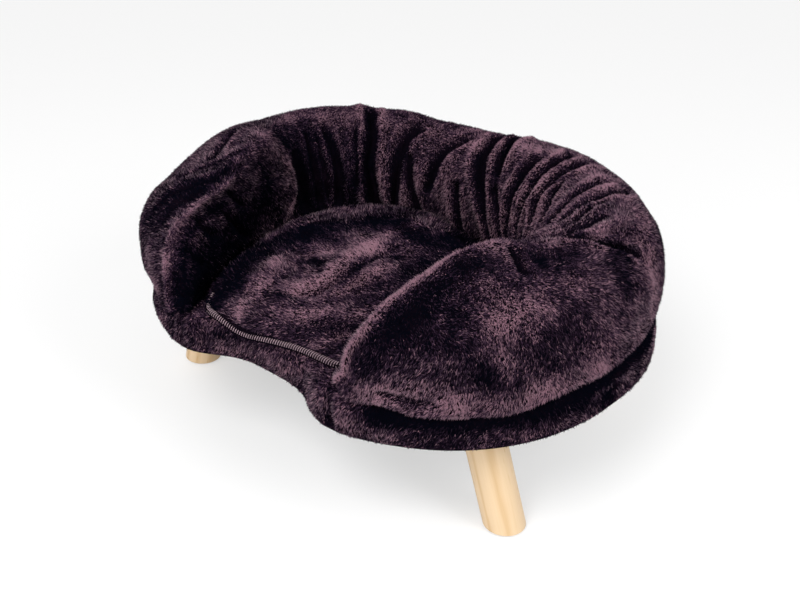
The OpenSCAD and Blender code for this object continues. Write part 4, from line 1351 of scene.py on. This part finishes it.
class OBJECT_OT_cat_bed_deck(bpy.types.Operator):
    """Make the deck's plush cover with the pile of its rim, and the dust cover under the board"""

    bl_idname = "object.cat_bed_deck"
    bl_label = "Deck"

    def execute(self, context):
        grid, shade, trim = deck_grid()
        cover = skin("deck_plush_cover", grid, [shaded_undercoat("deck_undercoat")], closed=True)
        thicken(cover, DECK_SKIN)
        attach(cover, "bed")
        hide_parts("deck_cover", "deck_foam")

        bolster_foot = foot_outline(TIP_ANGLE, 160, 1, 2)
        mat_foot = mat_outline(4)

        def places(points):
            """Which points are on the deck's top, under the bolster and under the mat."""
            flat = points[:, :2]
            return points[:, 2] > DECK_TOP - TOP_BAND, inside(flat, bolster_foot), inside(flat, mat_foot)

        def open_to_view(points):
            top, bolster, mat = places(points)
            return ~(top & (bolster | mat)) & (points[:, 2] > COVER_Z + 4.5)

        def under_the_mat(points):
            top, bolster, mat = places(points)
            return mat & ~bolster & top

        rows = slice(PILE_FROM_ROW, None)
        add_pile(
            cover, "deck_pile", grid[:, rows], True, count=DECK_TUFTS, nap=8, rise=42, seed=131,
            where=open_to_view, keep=open_to_view, shade=shade[:, rows], trim=trim[:, rows],
            brushed=NAP_AND_SHADE_STROKES["deck"],
        )
        add_pile(
            cover, "deck_seat_pile", grid[:, :SEAT_TO_ROW], True, count=SEAT_TUFTS, nap=8, rise=20, seed=132,
            where=under_the_mat, keep=under_the_mat, length=SEAT_PILE_LENGTH, brushed=[],
        )

        outline = bean_in(np.linspace(-180, 180, 180, endpoint=False), np.full(180, DUST_IN))
        holes = [(side * x, y, DUST_HOLE_R) for side in (-1, 1) for x, y in LEG_TOPS]
        dust = slab(
            "dust_cover_cloth", outline, COVER_Z - 0.1, DUST_CLOTH,
            [lining("dust_cover_fabric", DUST_COLOURS, 600.0)], holes, 11.0,
        )
        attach(dust, "bed")
        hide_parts("dust_cover")
        return {"FINISHED"}


class OBJECT_OT_cat_bed_mat(bpy.types.Operator):
    """Make the loose mat: its plush with pile, its backing and its overlocked edge"""

    bl_idname = "object.cat_bed_mat"
    bl_label = "Mat"

    def execute(self, context):
        grid = mat_grid()
        plush = skin("mat_plush_pad", grid, [shaded_undercoat("mat_undercoat")], closed=True)
        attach(plush, "mat")
        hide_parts("mat_plush")
        edge = mat_outline(0)
        inner = mat_outline(-1.6, 4.2)

        def mat_nap(points):
            """Across the mat, and outwards near its sides and back."""
            out = points[:, :2] - np.array([0, -ARM_START])
            at_side = ramp(np.linalg.norm(out, axis=1), 92, 14) * ramp(points[:, 1], -160, 16)
            way = (1 - at_side)[:, None] * MAT_NAP_WAY + 2.5 * at_side[:, None] * unit(out)
            return np.column_stack([way, np.zeros(len(points))])

        add_pile(
            plush, "mat_pile", grid[:, : len(MAT_SHARES)], True, count=MAT_TUFTS, nap=0, rise=38, seed=141,
            toward=mat_nap, keep=lambda p: inside(p[:, :2], inner), brushed=NAP_AND_SHADE_STROKES["mat"],
        )

        backing_edge = mat_outline(1.6)
        backing = slab(
            "mat_backing_cloth", backing_edge, MAT_Z - 0.1, BACKING_CLOTH,
            [lining("mat_lining", BACKING_COLOURS)], spacing=8.0, lift=lambda flat: -droop(flat),
        )
        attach(backing, "mat")
        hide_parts("mat_backing")

        step = np.linalg.norm(np.roll(edge, -1, 0) - edge, axis=1)
        run = np.concatenate([[0], np.cumsum(step)])
        ring = np.concatenate([edge, edge[:1]])
        count = int(run[-1] / STITCH)

        def at(places):
            """Points at distances along the mat's edge."""
            places = np.mod(places, run[-1])
            return np.column_stack([np.interp(places, run, ring[:, k]) for k in (0, 1)])

        places = np.arange(count) * run[-1] / count
        here, after = at(places), at(places + 0.8)
        way = unit(after - here)
        out = np.column_stack([-way[:, 1], way[:, 0]])
        lean = np.linspace(-LOOP_LEAN, LOOP_LEAN, len(LOOP)) * STITCH
        drop = droop(here)
        parts = []
        for k in range(count):
            points = [
                (*(here[k] + out[k] * across + way[k] * slant), MAT_Z + height - drop[k])
                for (across, height), slant in zip(LOOP, lean)
            ]
            parts.append(rope(points, THREAD_R))
        points, faces = joined(parts)
        loops = mesh_from("mat_overlock_loops", points, faces, [thread_finish()])

        folded = [(a * FOLD_SHARE, h - FOLD_BELOW if h > 1 else h) for a, h in reversed(LOOP)]
        band = np.stack([
            np.column_stack([here + out * across, MAT_Z + height - drop]) for across, height in folded
        ], 1)
        around = grid_faces(*band.shape[:2], True)
        # The folded edge under the loops is dark as painted shade
        edging = mesh_from("mat_overlock_edge", band, around, [shaded_undercoat("mat_undercoat")])
        thicken(edging, EDGE_SKIN)
        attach(edging, "mat")
        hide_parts("mat_overlock")
        loops.parent = edging
        return {"FINISHED"}


class OBJECT_OT_cat_bed_legs(bpy.types.Operator):
    """Finish the pine legs and make the felt pads under them"""

    bl_idname = "object.cat_bed_legs"
    bl_label = "Legs"

    def execute(self, context):
        s = chosen()
        lean = math.atan2(LEG_SPLAY, LEG_RISE)
        turn = np.linspace(0, 2 * math.pi, 64, endpoint=False)
        felt = finish_of("felt", nap_group, shades(*FELT_COLOURS), bump=0.7, depth=0.0005, gloss=0.1)
        for end, (x, y) in zip(("front", "rear"), LEG_TOPS):
            for side, hand in ((-1, "left"), (1, "right")):
                name = f"{end}_{hand}"
                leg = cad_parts[f"leg_{name}"]
                coat(leg, finish_of(
                    f"pine_{name}", grain_group, {"Rings": 560.0, **shades(s.pine_late, s.pine)},
                    bump=0.25, depth=0.0003, turn=(0, side * lean, 0),
                    move=(GRAIN_SHIFT * side * x * MM, 0.05, y * MM),
                ))
                edge = leg.modifiers.new("eased_edge", "BEVEL")
                edge.width, edge.segments = LEG_EASE * MM, 2
                edge.limit_method, edge.angle_limit = "ANGLE", math.radians(50)

                ring = np.stack([
                    np.column_stack([
                        side * (x + LEG_SPLAY) + PAD_R * share * np.cos(turn),
                        y + PAD_R * share * np.sin(turn),
                        np.full(len(turn), PAD_T * up),
                    ])
                    for share, up in PAD_ROWS
                ], 1)
                pad = skin(f"felt_pad_{name}", ring, [felt], closed=True)
                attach(pad, f"{name}_leg")
                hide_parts(f"foot_pad_{name}")
        return {"FINISHED"}


class OBJECT_OT_cat_bed_hardware(bpy.types.Operator):
    """Finish the board, the tee nuts, the staples and the hanger bolts"""

    bl_idname = "object.cat_bed_hardware"
    bl_label = "Hardware"

    def execute(self, context):
        grain = {"Rings": 190.0, **shades(*PLY_COLOURS)}
        ply = finish_of("plywood", grain_group, grain, turn=(0, math.pi / 2, 0))
        zinc = finish_of("zinc", metal_group, shades(*ZINC_COLOURS), bump=0.15, depth=0.0002, metallic=1.0)
        for name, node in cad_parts.items():
            if name == "deck_board":
                coat(node, ply)
            elif name in ("cover_staples", "tee_nuts") or name.startswith("hanger_bolt"):
                coat(node, zinc)
        return {"FINISHED"}


class OBJECT_OT_cat_bed_stage(bpy.types.Operator):
    """Make the pale floor, the world, the lamps and the camera"""

    bl_idname = "object.cat_bed_stage"
    bl_label = "Stage"

    def execute(self, context):
        s = chosen()
        scene = context.scene
        half = s.floor_size / 2 / MM
        corners = [(-half, -half, 0), (half, -half, 0), (half, half, 0), (-half, half, 0)]
        floor = mesh_from("floor", corners, [(0, 1, 2, 3)], [floor_finish()])

        world = bpy.data.worlds.new("studio")
        scene.world = world
        world.use_nodes = True
        nodes = Nodes(world.node_tree)
        world.node_tree.nodes.clear()
        light = nodes.add("ShaderNodeBackground", {"Color": (1, 1, 1, 1), "Strength": 0.6})
        shown = nodes.add("ShaderNodeBackground", {"Color": (1, 1, 1, 1), "Strength": 1.0})
        both = nodes.add("ShaderNodeMixShader", {0: seen_directly(nodes), 1: light, 2: shown})
        nodes.add("ShaderNodeOutputWorld", {"Surface": both})

        for name, place, size, power in LAMPS:
            lamp = bpy.data.lights.new(name, "AREA")
            lamp.shape, lamp.size, lamp.energy = "DISK", size, power
            thing = bpy.data.objects.new(name, lamp)
            thing.location = place
            thing.rotation_euler = (Vector((0, 0, 0.12)) - thing.location).to_track_quat("-Z", "Y").to_euler()
            context.collection.objects.link(thing)

        eye = bpy.data.cameras.new("camera")
        eye.lens, eye.sensor_width = s.lens, 36
        camera = bpy.data.objects.new("camera", eye)
        camera.location = CAMERA_AT
        camera.rotation_euler = [math.radians(a) for a in CAMERA_TURN]
        context.collection.objects.link(camera)
        scene.camera = camera
        scene.view_settings.view_transform = "Standard"
        return {"FINISHED"}


class VIEW3D_PT_cat_bed(bpy.types.Panel):
    """Lists the cat sofa bed's pieces and settings"""

    bl_label = "Cat sofa bed"
    bl_idname = "VIEW3D_PT_cat_bed"
    bl_space_type = "VIEW_3D"
    bl_region_type = "UI"
    bl_category = "Cat sofa bed"

    def draw(self, context):
        column = self.layout.column()
        for operator in OPERATORS:
            column.operator(operator.bl_idname)
        for name in CatBedSettings.__annotations__:
            column.prop(context.scene.cat_bed, name)


OPERATORS = (
    OBJECT_OT_cat_bed_stage,
    OBJECT_OT_cat_bed_deck,
    OBJECT_OT_cat_bed_bolster,
    OBJECT_OT_cat_bed_mat,
    OBJECT_OT_cat_bed_legs,
    OBJECT_OT_cat_bed_hardware,
)
CLASSES = (CatBedSettings, *OPERATORS, VIEW3D_PT_cat_bed)


def register():
    for item in CLASSES:
        bpy.utils.register_class(item)
    bpy.types.Scene.cat_bed = bpy.props.PointerProperty(type=CatBedSettings)


def unregister():
    del bpy.types.Scene.cat_bed
    for item in reversed(CLASSES):
        bpy.utils.unregister_class(item)


def main():
    register()
    bpy.ops.object.cat_bed_stage()
    bpy.ops.object.cat_bed_deck()
    bpy.ops.object.cat_bed_bolster()
    bpy.ops.object.cat_bed_mat()
    bpy.ops.object.cat_bed_legs()
    bpy.ops.object.cat_bed_hardware()


if __name__ == "__main__":
    main()
